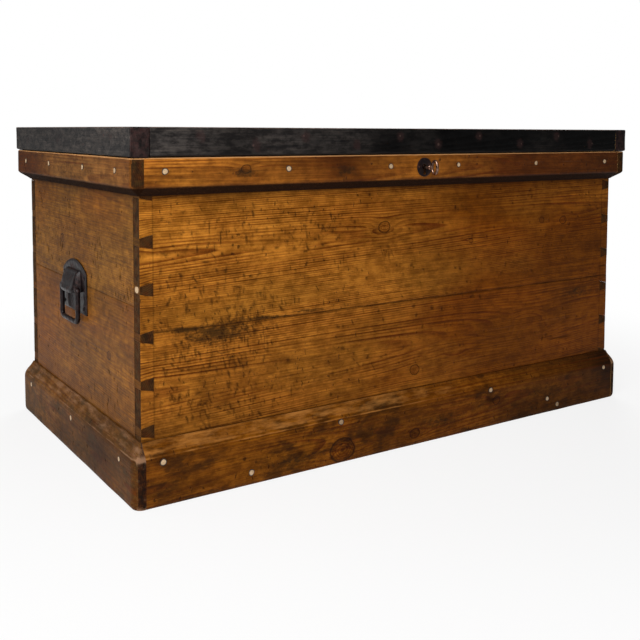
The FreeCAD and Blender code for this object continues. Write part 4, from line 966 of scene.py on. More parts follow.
def pine_material(name, young, late, aged_and_shaded, turned=False, rings=0.9, dents=0.25, dent_zone=None, worn=0.4,
                  worn_colour=None, worn_share=0.45, gloss=0.42, blotch=0.5, dark=None, sawn=None, sheen=0.12):
    """Waxed pine. Rings, fibres and clouds set the tone; patina and painted shade darken it, the painted shade falling
    off to the right and below; knots, marks, stains, painted shade lines and worn edges lie over it, with a painted
    highlight along the band's top arris; sawn ends and the raw inside have their own colours. turned is for grain that
    runs front to back."""
    c = bpy.context.scene.chest_colours
    material, shader, coords, grain, value, fibre, late_wood, each_ring = wood_material(name, turned, 0.55)
    # Patina together with painted shade, which darkens the front, plinth and band to the right and below
    patina = plus(value["patina"], times(minus(fibre["Clouds"], 0.5), 1.5), True)
    ground = mix(patina, young, aged_and_shaded)
    faded = patches(grain, (4, 16, 16), 3.0, 0.55, 0.36, 0.60, 0.22, 1.0)
    late_share = times(times(late_wood, step_between(each_ring, 0.0, 1.0, 0.35 * rings, rings)), faded)
    wood = mix(late_share, ground, mix(0.45, late, multiplied(ground, late)))
    streak = step_between(fibre["Streaks"], 0.30, 0.72)
    wood = toned(wood, streak, (0.66, 0.60, 0.50), (1.22, 1.20, 1.14))
    mottle = mix(patches(grain, (46, 70, 70), 6.0, 0.72, 0.36, 0.64), (0.66, 0.60, 0.48), (1.24, 1.22, 1.16))
    wood = mix(minus(1.0, times(patina, 0.35)), wood, mottle, "MULTIPLY")
    broad = patches(grain, (5, 15, 15), 3.0, 0.5, 0.36, 0.64)
    wood = toned(wood, broad, (0.86, 0.86, 0.78), (1.14, 1.10, 1.02))
    scuffs = patches(grain, (150, 260, 260), 4.0, 0.7, 0.60, 0.72)
    for dirt in (scuffs, fibre["Pores"]):
        wood = mix(times(dirt, 0.35), wood, c.mark)
    blotches = patches(grain, (7, 14, 14), 5.0, 0.62, 0.50, 0.72)
    wood = mix(times(blotches, blotch), wood, multiplied(wood, (0.50, 0.42, 0.34)))
    if dark is not None:
        wood = mix(times(patches(grain, (15, 34, 34), 6.0, 0.66, 0.50, 0.64), 0.75), wood, dark)

    # Knots: an uneven dark outline, fine rings inside it and a dark heart
    knot = plus(value["knot"], times(minus(noise(coords, 75.0), 0.5), 0.55))
    outline = times(step_between(knot, 0.18, 0.28), step_between(knot, 0.32, 0.46, 1.0, 0.0))
    fine_rings = step_between(calc("PINGPONG", knot, 0.12), 0.0, 0.12)
    core = mix(fine_rings, multiplied(wood, (0.55, 0.42, 0.32)), wood)
    wood = mix(times(step_between(knot, 0.26, 0.36), 0.85), wood, core)
    wood = mix(times(larger(outline, times(step_between(knot, 0.95, 1.25), 0.7)), 0.8), wood, c.mark)

    # Dents, marks and stains; in a dent zone the dents come in clusters and thin out to the right
    density = dents
    if dent_zone is not None:
        place = put(material.node_tree, "SeparateXYZ", Vector=coords).outputs["X"]
        zone = step_between(place, *dent_zone, 1.0, 0.12)
        density = times(times(zone, patches(coords, 9.0, 2.0, 0.55, 0.38, 0.62)), dents)
    dented = use("Small Dents", Vector=grain, Density=density)["Dents"]
    mark = times(value["mark"], patches(coords, 600.0, 2.0, 0.55, 0.25, 0.6, 0.7, 1.0))
    all_marks = larger(mark, times(dented, 0.75))
    stain = use("Grime", Mask=value["stain"], Vector=grain, Grain=210.0)["Dirt"]
    wood = mix(times(stain, 0.78), wood, c.stain)
    # Marks, and the painted shade lines in creases, under the band and in the gap under the lid
    wood = mix(times(all_marks, 0.92), wood, c.mark)

    # Sawn ends, worn edges and the raw inside
    end = mix(patches(coords, 130.0, 4.0, 0.55, 0.35, 0.7), sawn or c.end_grain, blend(0.4, c.end_grain, late))
    end = mix(times(late_wood, 0.4), end, (0.008, 0.005, 0.003))
    end = mix(times(patches(coords, 75.0, 5.0, 0.7, 0.42, 0.62), 0.7), end, (0.010, 0.006, 0.003))
    wood = mix(value["sawn"], wood, end)
    streaked = stretched(grain, (0.30, 1.1, 1.1))
    wear = use("Edge Wear", Nearness=value["wear"], Vector=streaked, Amount=worn)["Bare"]
    # Worn edges; along the band's top arris this pale line is also a painted highlight
    wood = mix(times(times(wear, minus(1.0, mark)), worn_share), wood, worn_colour or c.mark)
    raw = mix(times(late_wood, 0.55), c.raw, blend(0.5, c.raw, late))
    raw = toned(raw, streak, (0.80, 0.76, 0.70), (1.05, 1.04, 1.02))
    raw = mix(times(step_between(fibre["Clouds"], 0.45, 0.75), 0.5), raw, multiplied(raw, (0.6, 0.5, 0.4)))
    wood = mix(value["inside"], wood, raw)

    dull = plus(plus(all_marks, value["sawn"]), value["inside"])
    rough = plus(plus(gloss, times(minus(fibre["Streaks"], 0.5), 0.25)), times(dull, 0.35), True)
    give(shader, Base_Color=wood, Roughness=rough)
    shader.inputs["Specular IOR Level"].default_value = sheen
    high = plus(times(late_wood, 0.30), times(fibre["Streaks"], 0.55))
    bump(shader, minus(high, plus(times(fibre["Pores"], 0.25), times(dented, 1.3))), WOOD_RELIEF)
    return material


def paint_material(name, turned=False):
    """Old near-black paint on pine: brushed, worn thin in places, chipped at its arrises, brown and mottled on sawn
    ends. A painted grey sheen at the left end stands in for the light's reflection; the rims get painted shade along
    their foot and a painted highlight on their top arris."""
    c = bpy.context.scene.chest_colours
    material, shader, coords, grain, value, fibre, late_wood, _ = wood_material(name, turned, 0.5)
    thin = patches(grain, (5, 24, 24), 5.0, 0.65, 0.50, 0.75)
    # Painted sheen: grey at the lid's left end in place of the light's reflection, black to the right
    coat = mix(value["patina"], c.paint_sheen, c.paint)
    # Paint rubbed thin shows brown at the left end and fades to black to the right, with the painted light
    coat = mix(times(thin, 0.45), coat, mix(value["patina"], c.paint_worn, c.paint))
    scuffed = patches(grain, (60, 130, 130), 5.0, 0.7, 0.38, 0.66)
    coat = toned(coat, scuffed, (0.45, 0.45, 0.46), (1.5, 1.48, 1.42))
    coat = toned(coat, step_between(fibre["Streaks"], 0.3, 0.7), (0.6, 0.62, 0.66), (1.35, 1.3, 1.25))
    coat = mix(times(late_wood, 0.22), coat, (0.006, 0.006, 0.006))
    dust = patches(coords, 240.0, 4.0, 0.7, 0.60, 0.78)
    coat = mix(times(dust, 0.10), coat, (0.10, 0.085, 0.075))
    rusty = use("Grime", Mask=value["stain"], Vector=coords, Grain=150.0)["Dirt"]
    coat = mix(times(rusty, 0.42), coat, tone(58, 38, 36))
    # Scratches, and the painted shade along the rims' foot
    coat = mix(times(value["mark"], 0.7), coat, (0.01, 0.008, 0.007))
    wear = use("Edge Wear", Nearness=value["wear"], Vector=coords, Amount=0.42)["Bare"]
    # Worn arrises; along the rims' top this pale line is also a painted highlight
    coat = mix(times(wear, 0.75), coat, tone(150, 122, 108))
    end = mix(patches(coords, 110.0, 5.0, 0.7, 0.35, 0.68), tone(18, 13, 13), tone(60, 38, 36))
    coat = mix(times(value["sawn"], 0.8), coat, end)
    raw = mix(times(late_wood, 0.55), c.raw, blend(0.5, c.raw, c.pine_late))
    raw = toned(raw, fibre["Streaks"], (0.75, 0.70, 0.64), (1.1, 1.08, 1.05))
    coat = mix(value["inside"], coat, raw)
    rough = plus(plus(0.34, times(scuffed, 0.25)), times(value["inside"], 0.25), True)
    give(shader, Base_Color=coat, Roughness=rough)
    shader.inputs["Specular IOR Level"].default_value = 0.12
    high = plus(times(late_wood, 0.35), times(fibre["Streaks"], 0.7))
    bump(shader, minus(high, times(wear, 0.6)), WOOD_RELIEF)
    return material


def iron_material(name, ground, rust=0.4, metallic=0.75, rough=0.48, depth=0.35, bright=None, sheen=0.5):
    """Forged iron: a hammered, pitted skin with rust in patches; bright is where hands have rubbed it."""
    material, _, shader, coords = new_material(name)
    face = use("Iron Skin", Vector=coords, Rust=rust)
    tint = toned(ground, face["Tone"], (0.55, 0.55, 0.58), (1.5, 1.45, 1.4))
    if bright is not None:
        tint = mix(patches(coords, 140.0, 3.0, 0.55, 0.36, 0.60), tint, bright)
    tint = mix(times(face["Rusted"], 0.75), tint, bpy.context.scene.chest_colours.rust)
    metal = times(minus(1.0, times(face["Rusted"], 0.7)), metallic)
    give(shader, Base_Color=tint, Metallic=metal, Roughness=plus(rough, times(face["Rusted"], 0.3), True))
    shader.inputs["Specular IOR Level"].default_value = sheen
    bump(shader, face["Height"], depth * MM, 0.9)
    return material


def peg_material(name):
    """Pale peg faces: end grain with a dark rim where dirt has gathered round them."""
    c = bpy.context.scene.chest_colours
    material, tree, shader, coords = new_material(name)
    speck = noise(coords, 900.0)
    face = mix(step_between(speck, 0.35, 0.7), tuple(np.multiply(c.peg, (0.62, 0.55, 0.48))), c.peg)
    face = mix(value_of(tree, "shade"), face, multiplied(face, (0.45, 0.38, 0.30)))
    rim = step_between(plus(value_of(tree, "rim"), times(minus(speck, 0.5), 0.3)), 0.66, 0.86)
    give(shader, Base_Color=mix(rim, face, c.mark), Roughness=plus(0.5, times(speck, 0.2)))
    bump(shader, speck, PEG_RELIEF)
    return material


def build_materials():
    """Every finish of the chest, by name."""
    build_groups()
    c = bpy.context.scene.chest_colours
    matt = {"sheen": 0.06}
    plinth = {**matt, "gloss": 0.5}
    # The band's pale worn colour also paints the highlight along its top arris
    band = {"worn_colour": tone(206, 150, 96), "blotch": 0.6}
    return {
        "front": pine_material("Front Pine", c.pine, c.pine_late, c.pine_aged, rings=1.1, dents=0.26,
                               dent_zone=(-0.22, 0.05), worn=0.25, sawn=tone(84, 60, 34), **matt),
        "ends": pine_material("End Pine", c.end_pine, c.pine_late, c.end_aged, turned=True, rings=0.6, dents=0.12,
                              worn=0.25, sawn=tone(74, 48, 22), **matt),
        "plinth": pine_material("Plinth Pine", c.plinth, c.pine_late, c.plinth_dark, dents=0.16, worn=0.50,
                                worn_share=0.58, worn_colour=tone(202, 136, 66), blotch=0.75, dark=c.plinth_dark,
                                **plinth),
        "plinth_turned": pine_material("Plinth End Pine", c.plinth_end, c.pine_late, c.plinth_dark, turned=True,
                                       dents=0.10, worn=0.46, worn_share=0.6, worn_colour=tone(172, 130, 98),
                                       blotch=0.6, dark=tone(64, 46, 24), sawn=tone(34, 20, 13), **plinth),
        "band": pine_material("Band Pine", c.band, c.pine_late, c.band_aged, dents=0.10, worn=0.34, worn_share=0.85,
                              **band),
        "band_turned": pine_material("Band End Pine", c.band_end, c.pine_late, c.band_aged, turned=True, dents=0.12,
                                     worn=0.38, worn_share=0.8, sawn=tone(74, 50, 22), **matt, **band),
        "bottom": pine_material("Bottom Pine", c.raw, c.pine_late, c.pine_aged, turned=True, dents=0.05, worn=0.2,
                                gloss=0.6),
        "lid": paint_material("Lid Paint"),
        "lid_turned": paint_material("Lid End Paint", turned=True),
        "iron": iron_material("Blackened Iron", c.iron, rust=0.2, metallic=0.15, rough=0.30, sheen=0.28),
        "lock": iron_material("Lock Iron", tone(70, 64, 60), rust=0.3, rough=0.42),
        "key": iron_material("Rubbed Key Steel", tone(84, 66, 58), rust=0.05, metallic=0.95, rough=0.26, depth=0.1,
                             bright=c.steel),
        "nail": iron_material("Nail Iron", tone(76, 62, 56), rust=0.5, rough=0.45, depth=0.15),
        "peg": peg_material("Peg Faces"),
    }


FINISH = {}


# ---------------------------------------------------------------- ironwork


def disc(points):
    """Bends a square from -1 to 1 into a disc: each side is drawn in by the root of one less half the other squared."""
    x, y = points[:, 0].copy(), points[:, 1].copy()
    points[:, 0], points[:, 1] = x * np.sqrt(1 - y * y / 2), y * np.sqrt(1 - x * x / 2)
    return points


def rod(stations, radii):
    """A turned rod along +z: discs of the given radii at the given stations, with no pole."""
    square = np.linspace(-1, 1, 9)
    points, quads = lattice(square, square, np.arange(len(stations), dtype=float))
    order = points[:, 2].round().astype(int)
    points = disc(points)
    points[:, :2] *= radii[order, None]
    points[:, 2] = stations[order]
    return points, quads


def sweep(path, across, radius, sides=20):
    """A tube round a closed flat path: at each point a ring in the plane of `across` and the path's side, at the
    radius."""
    ahead, behind = np.roll(path, -1, 0), np.roll(path, 1, 0)
    tangent = ahead - behind
    tangent /= np.linalg.norm(tangent, axis=1, keepdims=True)
    aside = np.cross(tangent, across)
    angle = np.linspace(0, 2 * np.pi, sides, endpoint=False)
    ring = np.cos(angle)[None, :, None] * np.asarray(across)[None, None] + np.sin(angle)[None, :, None] * aside[:, None]
    points = path[:, None] + ring * np.broadcast_to(radius, (len(path), sides))[..., None]
    numbers = np.arange(len(path) * sides).reshape(len(path), sides)
    return points.reshape(-1, 3), net(np.pad(numbers, (0, 1), mode="wrap"))


def rounded_loop(half_width, top, foot, top_radius, foot_radius, step):
    """A closed rectangle with rounded corners in a plane: width along the first number, height along the second."""
    corners = (
        (1, top - top_radius, top_radius, 0), (-1, top - top_radius, top_radius, 90),
        (-1, foot + foot_radius, foot_radius, 180), (1, foot + foot_radius, foot_radius, 270),
    )
    found = []
    for side, level, radius, start in corners:
        turn = np.radians(np.linspace(start, start + 90, 9))
        middle = side * (half_width - radius)
        found.append(np.stack([middle + radius * np.cos(turn), level + radius * np.sin(turn)], 1))
    outline = np.concatenate([*found, found[0][:1]])
    run = np.concatenate([[0], np.cumsum(np.linalg.norm(np.diff(outline, axis=0), axis=1))])
    even = np.linspace(0, run[-1], int(run[-1] / step), endpoint=False)
    return np.stack([np.interp(even, run, outline[:, 0]), np.interp(even, run, outline[:, 1])], 1)


def facing(points, quads):
    """The quads turned so that the closed surface they make has a positive volume."""
    a, b, c, d = (points[quads[:, n]] for n in range(4))
    volume = np.einsum("ij,ij->i", np.cross(b - a, c - a) + np.cross(c - a, d - a), a).sum()
    return quads if volume > 0 else quads[:, ::-1]


# The handle's plate: the rise of its arch, its thickness, and how wide its thinner border is
PLATE_ARCH, PLATE_THICK, PLATE_BORDER = 18 * MM, 2.5 * MM, 2.5 * MM
BEATEN_BORDER = 3 * MM
# The hood: its foot and top above the floor, half its width, how far it stands out from its own step off the wall
HOOD_FOOT, HOOD_TOP, HOOD_HALF, HOOD_REACH, HOOD_STEP = 253 * MM, 288 * MM, 33 * MM, 14 * MM, 2.3 * MM
# The height of the bead along the hood's foot, of the ribs at its cheeks, and of the curve of its lip
BEAD_HEIGHT, RIB_HEIGHT, LIP_CURVE = 1.9 * MM, 0.8 * MM, 2.0 * MM
# The bail: radii of its loop's corners, spacing of its rings, and the length in which its flats turn by a radian
BAIL_TOP_CORNER, BAIL_FOOT_CORNER, BAIL_STEP, BAIL_TWIST = 4.4 * MM, 9 * MM, 1.2 * MM, 11 * MM
# Below its top: where its flats begin and are full, and where its thicker top ends and is full
FLATS_FROM, FLATS_FULL, KNUCKLE_END, KNUCKLE_FULL = 12 * MM, 45 * MM, 12 * MM, 3 * MM


def flat_drift(first, second, reach, seed):
    """Smooth irregularity over a plane."""
    return drift(np.stack([first, second, second * 0], 1), reach, seed)


def handle_plate(side, name):
    """The arched back plate: a thin slab that is thinner towards its outline. Its top edge falls from the middle by
    the arch times the square of the share of the half width."""
    sizes = bpy.context.scene.chest_sizes
    low, high = box(name + "_handle_plate")
    width, centre = high[1] - low[1], (low[1] + high[1]) / 2
    points, quads = lattice(np.array([0.0, 0.6, 1.0]), np.linspace(0, 1, 57), np.linspace(0, 1, 43))
    out, across, up = points.T
    arch = high[2] - PLATE_ARCH * (2 * across - 1) ** 2
    y = centre + (across - 0.5) * width
    z = low[2] + up * (arch - low[2])
    edge = np.minimum(np.minimum(across, 1 - across) * width, np.minimum(up, 1 - up) * (arch - low[2]))
    body = PLATE_THICK * (0.62 + 0.38 * smooth(edge, 0, PLATE_BORDER))
    beaten = sizes.hammer * flat_drift(y, z, 0.014, 5 + side) * smooth(edge, 0, BEATEN_BORDER)
    plate = np.stack([side * HALF_WIDTH + side * out * (body + beaten), y, z], 1)
    return plate, facing(plate, quads), {}


def handle_hood(side, name):
    """The hood: a quarter-round scoop of sheet iron that stands out from the plate, open at its foot. Its cheeks
    close as the 0.4th power of 1 less the fifth power of the share of the half width."""
    sizes = bpy.context.scene.chest_sizes
    low, high = box(name + "_handle_plate")
    centre = (low[1] + high[1]) / 2
    points, quads = lattice(np.array([0.0, 1.0]), np.linspace(-1, 1, 33), np.linspace(0, 1, 21))
    inwards = sizes.hood_wall - points[:, 0] * sizes.hood_wall
    across, share = points[:, 1], points[:, 2]
    turn = share * np.pi / 2
    cheek = (1 - np.abs(across) ** 5) ** 0.4
    rib = np.exp(-(((np.abs(across) - 0.84) / 0.12) ** 2))
    hollow = 0.30 * np.exp(-(((share - 0.36) / 0.17) ** 2)) * (1 - rib)
    bead = BEAD_HEIGHT * np.exp(-(((share - 0.90) / 0.07) ** 2)) + RIB_HEIGHT * rib * smooth(share, 0.1, 0.4)
    stand = ((HOOD_REACH - inwards) * (1 - hollow) + bead) * cheek * np.sin(turn) ** 0.75
    fall = HOOD_TOP - inwards - HOOD_FOOT - LIP_CURVE * across**2
    hood = np.stack([
        side * HALF_WIDTH + side * (HOOD_STEP + stand),
        centre + across * (HOOD_HALF - inwards) * (0.86 + 0.14 * np.sin(turn)),
        HOOD_TOP - inwards - fall * (1 - np.cos(turn)) ** 0.9,
    ], 1)
    hood += side * sizes.hammer * 0.8 * (drift(hood, 0.012, 17) * cheek)[:, None] * np.array([1, 0, 0])
    return hood, facing(hood, quads), {}


def handle_bail(side, name):
    """The bail: a round bar, a little flattened and beaten, bent to a closed loop and thicker at its top."""
    low, high = box(name + "_bail")
    radius = (high[0] - low[0]) / 2
    half_width = (high[1] - low[1]) / 2 - radius
    loop = rounded_loop(half_width, high[2] - radius, low[2] + radius, BAIL_TOP_CORNER, BAIL_FOOT_CORNER, BAIL_STEP)
    path = np.stack([np.full(len(loop), (low[0] + high[0]) / 2), (low[1] + high[1]) / 2 + loop[:, 0], loop[:, 1]], 1)
    below = 0.35 + 0.65 * smooth(high[2] - path[:, 2], FLATS_FROM, FLATS_FULL)[:, None]
    angle = np.linspace(0, 2 * np.pi, 20, endpoint=False)
    twist = np.cumsum(np.full(len(path), BAIL_STEP)) / BAIL_TWIST
    square = 1 - 0.10 * (0.5 - 0.5 * np.cos(4 * (angle[None] - twist[:, None]))) * below
    beaten = 1 - 0.05 * (0.5 + 0.5 * flat_drift(path[:, 1], path[:, 2], 0.012, 9 + side))
    knuckle = 1 + 0.10 * smooth(path[:, 2], high[2] - KNUCKLE_END, high[2] - KNUCKLE_FULL)
    return sweep(path, (1, 0, 0), radius * square * (beaten * knuckle)[:, None])


def handle(side, name):
    """A lifting handle: an arched plate with a hood, and a bail that hangs through the hood."""
    points, quads, _ = joined([handle_plate(side, name), handle_hood(side, name)])
    mesh = new_mesh(name + "_plate", points, quads)
    new_piece(name + "_plate_and_hood", mesh, FINISH["iron"], "chest", [name + "_handle_plate"])
    tube, quads = handle_bail(side, name)
    mesh = new_mesh(name + "_bail", tube, facing(tube, quads), sharp=60)
    new_piece(name + "_bail_bar", mesh, FINISH["iron"], name + "_bail_body", [name + "_bail"])


# The keyhole in the escutcheon: its round part's radius, half its slot's width, and the slot's reach below
KEYHOLE_RADIUS, SLOT_HALF, SLOT_REACH = 5 * MM, 3 * MM, 11.5 * MM
ESCUTCHEON_SPOKES = 96
ESCUTCHEON_RINGS = np.array([0, 0.08, 0.3, 0.55, 0.75, 0.88, 0.96, 1.0])
LEAST_SHARE, ESCUTCHEON_DENT = 1e-6, 0.12 * MM


def escutcheon():
    """A round plate with a keyhole: rings go from the keyhole's outline to the rim, which turns down a little."""
    low, high = box("escutcheon")
    centre_z, radius, thick = (low[2] + high[2]) / 2, (high[2] - low[2]) / 2, high[1] - low[1]
    angle = np.linspace(0, 2 * np.pi, ESCUTCHEON_SPOKES, endpoint=False)
    way = np.stack([np.sin(angle), np.cos(angle)], 1)
    to_side = SLOT_HALF / np.maximum(np.abs(way[:, 0]), LEAST_SHARE)
    to_foot = SLOT_REACH / np.maximum(-way[:, 1], LEAST_SHARE)
    hole = np.maximum(KEYHOLE_RADIUS, np.where(way[:, 1] < 0, np.minimum(to_side, to_foot), 0))
    points, quads = lattice(np.array([0.0, 1.0]), ESCUTCHEON_RINGS, np.arange(ESCUTCHEON_SPOKES) * 1.0, wrap=2)
    spoke = points[:, 2].round().astype(int)
    share = points[:, 1]
    place = way[spoke] * (hole[spoke] + (radius - hole[spoke]) * share)[:, None]
    dish = 0.45 * thick * smooth(share, 0.8, 1.0) + 0.25 * thick * (1 - smooth(share, 0.0, 0.12))
    dent = ESCUTCHEON_DENT * flat_drift(place[:, 0], place[:, 1], 0.008, 21)
    y = high[1] - points[:, 0] * (thick - dish + np.minimum(dent, 0))
    shaped = np.stack([place[:, 0], y, centre_z + place[:, 1]], 1)
    mesh = new_mesh("escutcheon", shaped, facing(shaped, quads))
    new_piece("round_escutcheon", mesh, FINISH["iron"], "chest", ["escutcheon"])


# The key's bow: its middle out from the front, its bar's radius, and half its outer depth and height
BOW_OUT, BOW_BAR, BOW_HALF_DEPTH, BOW_HALF_HEIGHT = 44 * MM, 2.1 * MM, 8.2 * MM, 12.2 * MM
COLLAR_OUT = 33 * MM
# The collar's and shank's turned outline, in mm: places from the collar's middle, and radii there
TURNED = np.array([(-2.6, 3.0), (-2.2, 3.6), (-1.4, 4.4), (0, 4.6), (1.4, 4.4), (2.2, 3.6), (2.6, 3.0), (8, 3.0)]) * MM
SHANK_RADIUS, SHANK_END_RADIUS, SHANK_CHAMFER = 3.0 * MM, 2.4 * MM, 0.5 * MM
SHANK_IN_BOW, SHANK_NECK = 0.6 * MM, 1.2 * MM
# The bit: half its thickness, its length, the notch from 1.6 to 2.6 mm along it, and its heights
BIT_HALF, BIT_LENGTH = 1.1 * MM, 6 * MM
BIT_NOTCH_START, BIT_NOTCH_END, BIT_LAST_CELL = 1.6 * MM, 2.6 * MM, 1.4 * MM
BIT_FOOT_GAP, BIT_NOTCH_HEIGHT, BIT_ROOT = 0.1 * MM, 3 * MM, 2 * MM


def key():
    """A warded key: an oval bow of round bar, a turned collar and shank, and a notched bit at its inner end."""
    low, high = box("key")
    level = (low[2] + high[2]) / 2
    bow_y, collar, end = FRONT - BOW_OUT, FRONT - COLLAR_OUT, high[1]
    turn = np.linspace(0, 2 * np.pi, 56, endpoint=False)
    half_y, half_z = BOW_HALF_DEPTH - BOW_BAR, BOW_HALF_HEIGHT - BOW_BAR
    path = np.stack([0 * turn, bow_y + half_y * np.cos(turn), level + half_z * np.sin(turn)], 1)
    thick = BOW_BAR * (1 + 0.10 * np.cos(turn + np.pi))
    bow = sweep(path, (1, 0, 0), thick[:, None], sides=16)
    start = bow_y + half_y - SHANK_IN_BOW
    stations = [start, start + SHANK_NECK, *(collar + TURNED[:, 0]), (collar + end) / 2, end - SHANK_CHAMFER, end]
    radii = [SHANK_END_RADIUS, SHANK_RADIUS, *TURNED[:, 1], SHANK_RADIUS, SHANK_RADIUS, SHANK_END_RADIUS]
    shank, shank_quads = rod(np.array(stations), np.array(radii))
    shank = np.stack([shank[:, 0], shank[:, 2], level + shank[:, 1]], 1)
    bit_low, bit_high = end - BIT_LENGTH, end - SHANK_CHAMFER
    y_lines = [bit_low, bit_low + BIT_NOTCH_START, bit_low + BIT_NOTCH_END, bit_high - BIT_LAST_CELL, bit_high]
    z_lines = [low[2] + BIT_FOOT_GAP, low[2] + BIT_NOTCH_HEIGHT, level - BIT_ROOT]
    filled = np.ones((1, 4, 2), bool)
    filled[0, 1, 0] = False
    bit = lattice(np.array([-BIT_HALF, BIT_HALF]), np.array(y_lines), np.array(z_lines), filled)
    points, quads, _ = joined([(p, facing(p, q), {}) for p, q in (bow, (shank, shank_quads), bit)])
    mesh = new_mesh("key", points, quads, sharp=50)
    new_piece("key_with_bow", mesh, FINISH["key"], "key_body", ["key"])


# How near one another the points of one head are, and how far from a node's face a head's points may lie
HEAD_REACH, HEAD_FACE = 10 * MM, 0.3 * MM
# How far the pegs and nails stand out at their rims, and how much higher their middles are
PEG_PROUD, PEG_DOME, NAIL_PROUD, NAIL_DOME = 0.1 * MM, 0.25 * MM, -0.3 * MM, 0.2 * MM
# A head: the share its outline wobbles by, the drop at its rim, how much its lean lifts it, how deep it goes
HEAD_WOBBLE, HEAD_FALL, LEAN_LIFT, HEAD_SUNK = 0.1, 0.18 * MM, 0.6 * MM, 1.2 * MM


def heads(node, axis, outward):
    """Middles of a node's separate round heads on one face, and that face's place."""
    mesh = frame["nodes"][node].data
    points = np.zeros(len(mesh.vertices) * 3, np.float32)
    mesh.vertices.foreach_get("co", points)
    points = points.reshape(-1, 3).astype(float)
    face = points[:, axis].max() if outward > 0 else points[:, axis].min()
    left = points[np.abs(points[:, axis] - face) < HEAD_FACE]
    found = []
    while len(left):
        near = np.linalg.norm(left - left[0], axis=1) < HEAD_REACH
        found.append((left[near].min(0) + left[near].max(0)) / 2)
        left = left[~near]
    return np.array(found), face


def round_heads(name, node, faces, radius, proud, dome, finish, body, slot, seed):
    """Pegs or nails as low domed discs, uneven in outline and size, one at each of the node's heads."""
    draw = np.random.default_rng(seed)
    square = np.linspace(-1, 1, 7)
    base, quads = lattice(square, square, np.array([0.0, 1.0]))
    top = base[:, 2] > 0.5
    base = disc(base)
    out = np.hypot(base[:, 0], base[:, 1])
    rim = np.clip(out, 0, 1)
    angle = np.arctan2(base[:, 1], base[:, 0])
    parts = []
    for axis, outward in faces:
        centres, face = heads(node, axis, outward)
        flat = [a for a in range(3) if a != axis]
        for centre in centres:
            twofold = np.sin(2 * angle + draw.uniform(0, 6.3)) * 0.5
            threefold = np.sin(3 * angle + draw.uniform(0, 6.3)) * 0.4
            uneven = 1 + HEAD_WOBBLE * (twofold + threefold) * out
            size = radius * draw.uniform(0.88, 1.08)
            points = np.zeros((len(base), 3))
            for n in (0, 1):
                points[:, flat[n]] = centre[flat[n]] + base[:, n] * uneven * size
            lean = draw.normal(0, 0.06, 2)
            height = proud + dome * (1 - rim**2) - HEAD_FALL * (rim > 0.9)
            height = height + (base[:, 0] * lean[0] + base[:, 1] * lean[1]) * LEAN_LIFT
            points[:, axis] = face + outward * np.where(top, height, -HEAD_SUNK)
            values = {"rim": rim * top + (1 - top), "shade": np.full(len(base), 0.8 * draw.uniform(0, 1) ** 3)}
            parts.append((points, facing(points, quads), values))
    points, quads, values = joined(parts)
    mesh = new_mesh(name, points, quads, values, sharp=50)
    new_piece(name, mesh, FINISH[finish], body, [node])


# The scrap of filler: half its width and height, its thickness, how deep it sits, and the pin it lies over
FILLER_HALF_WIDTH, FILLER_HALF_HEIGHT, FILLER_THICK, FILLER_SUNK = 6.2 * MM, 4.6 * MM, 0.75 * MM, 0.6 * MM
FILLER_PIN = 4


def corner_filler():
    """A pale scrap of filler over a pin at the left front corner: a square drawn towards a disc, thin and uneven."""
    side = np.linspace(-1, 1, 7)
    base, quads = lattice(np.array([0.0, 1.0]), side, side)
    flat = 0.5 * disc(base[:, 1:].copy()) + 0.45 * base[:, 1:]
    spread = 1 + 0.12 * flat_drift(flat[:, 0], flat[:, 1], 1.2, 7)
    x = -HALF_WIDTH + FILLER_SUNK - base[:, 0] * FILLER_THICK
    y = (FRONT + FRONT_INSIDE) / 2 + flat[:, 0] * FILLER_HALF_WIDTH * spread
    z = PINS[-1][FILLER_PIN] + flat[:, 1] * FILLER_HALF_HEIGHT * spread
    points = np.stack([x, y, z], 1)
    values = {"rim": np.clip(np.hypot(*flat.T), 0, 1) * 0.75, "shade": np.zeros(len(points))}
    mesh = new_mesh("corner_filler", points, facing(points, quads), values, sharp=50)
    new_piece("corner_filler", mesh, FINISH["peg"], "chest")


# ---------------------------------------------------------------- operators


# The camera: its place in metres, its yaw, pitch and roll in radians, and its lens, in mm of a film 36 mm wide
CAMERA_PLACE = (-0.9119, -1.3417, 0.5046)
CAMERA_TURN = (0.5831, 0.0684, 0.0043)
CAMERA_SHIFT = -0.20
CAMERA_CLIP = (0.01, 50)
FILM_WIDTH, FOCAL_LENGTH = 36, 49.99
# The floor: half its width in metres, its grid lines, and where and how far it fades to the white of the backdrop
FLOOR_REACH, FLOOR_LINES = 14, 9
FADE_NEAR, FADE_FAR, FADE_LEAST = 0.5, 1.3, 0.80
WHITE = (1, 1, 1, 1)
# The soft lights: name, share of the key light's power, width (None for the key light's own), place, aim
LIGHTS = (
    ("key", 1.0, None, (-1.25, -1.10, 1.35), (-0.35, -0.1, 0.25)),
    ("side", 0.27, 1.8, (-2.3, 1.5, 0.9), (-0.4, 0.0, 0.3)),
    ("back", 1.3, 1.6, (1.7, 1.9, 1.7), (0.2, 0.1, 0.25)),
)


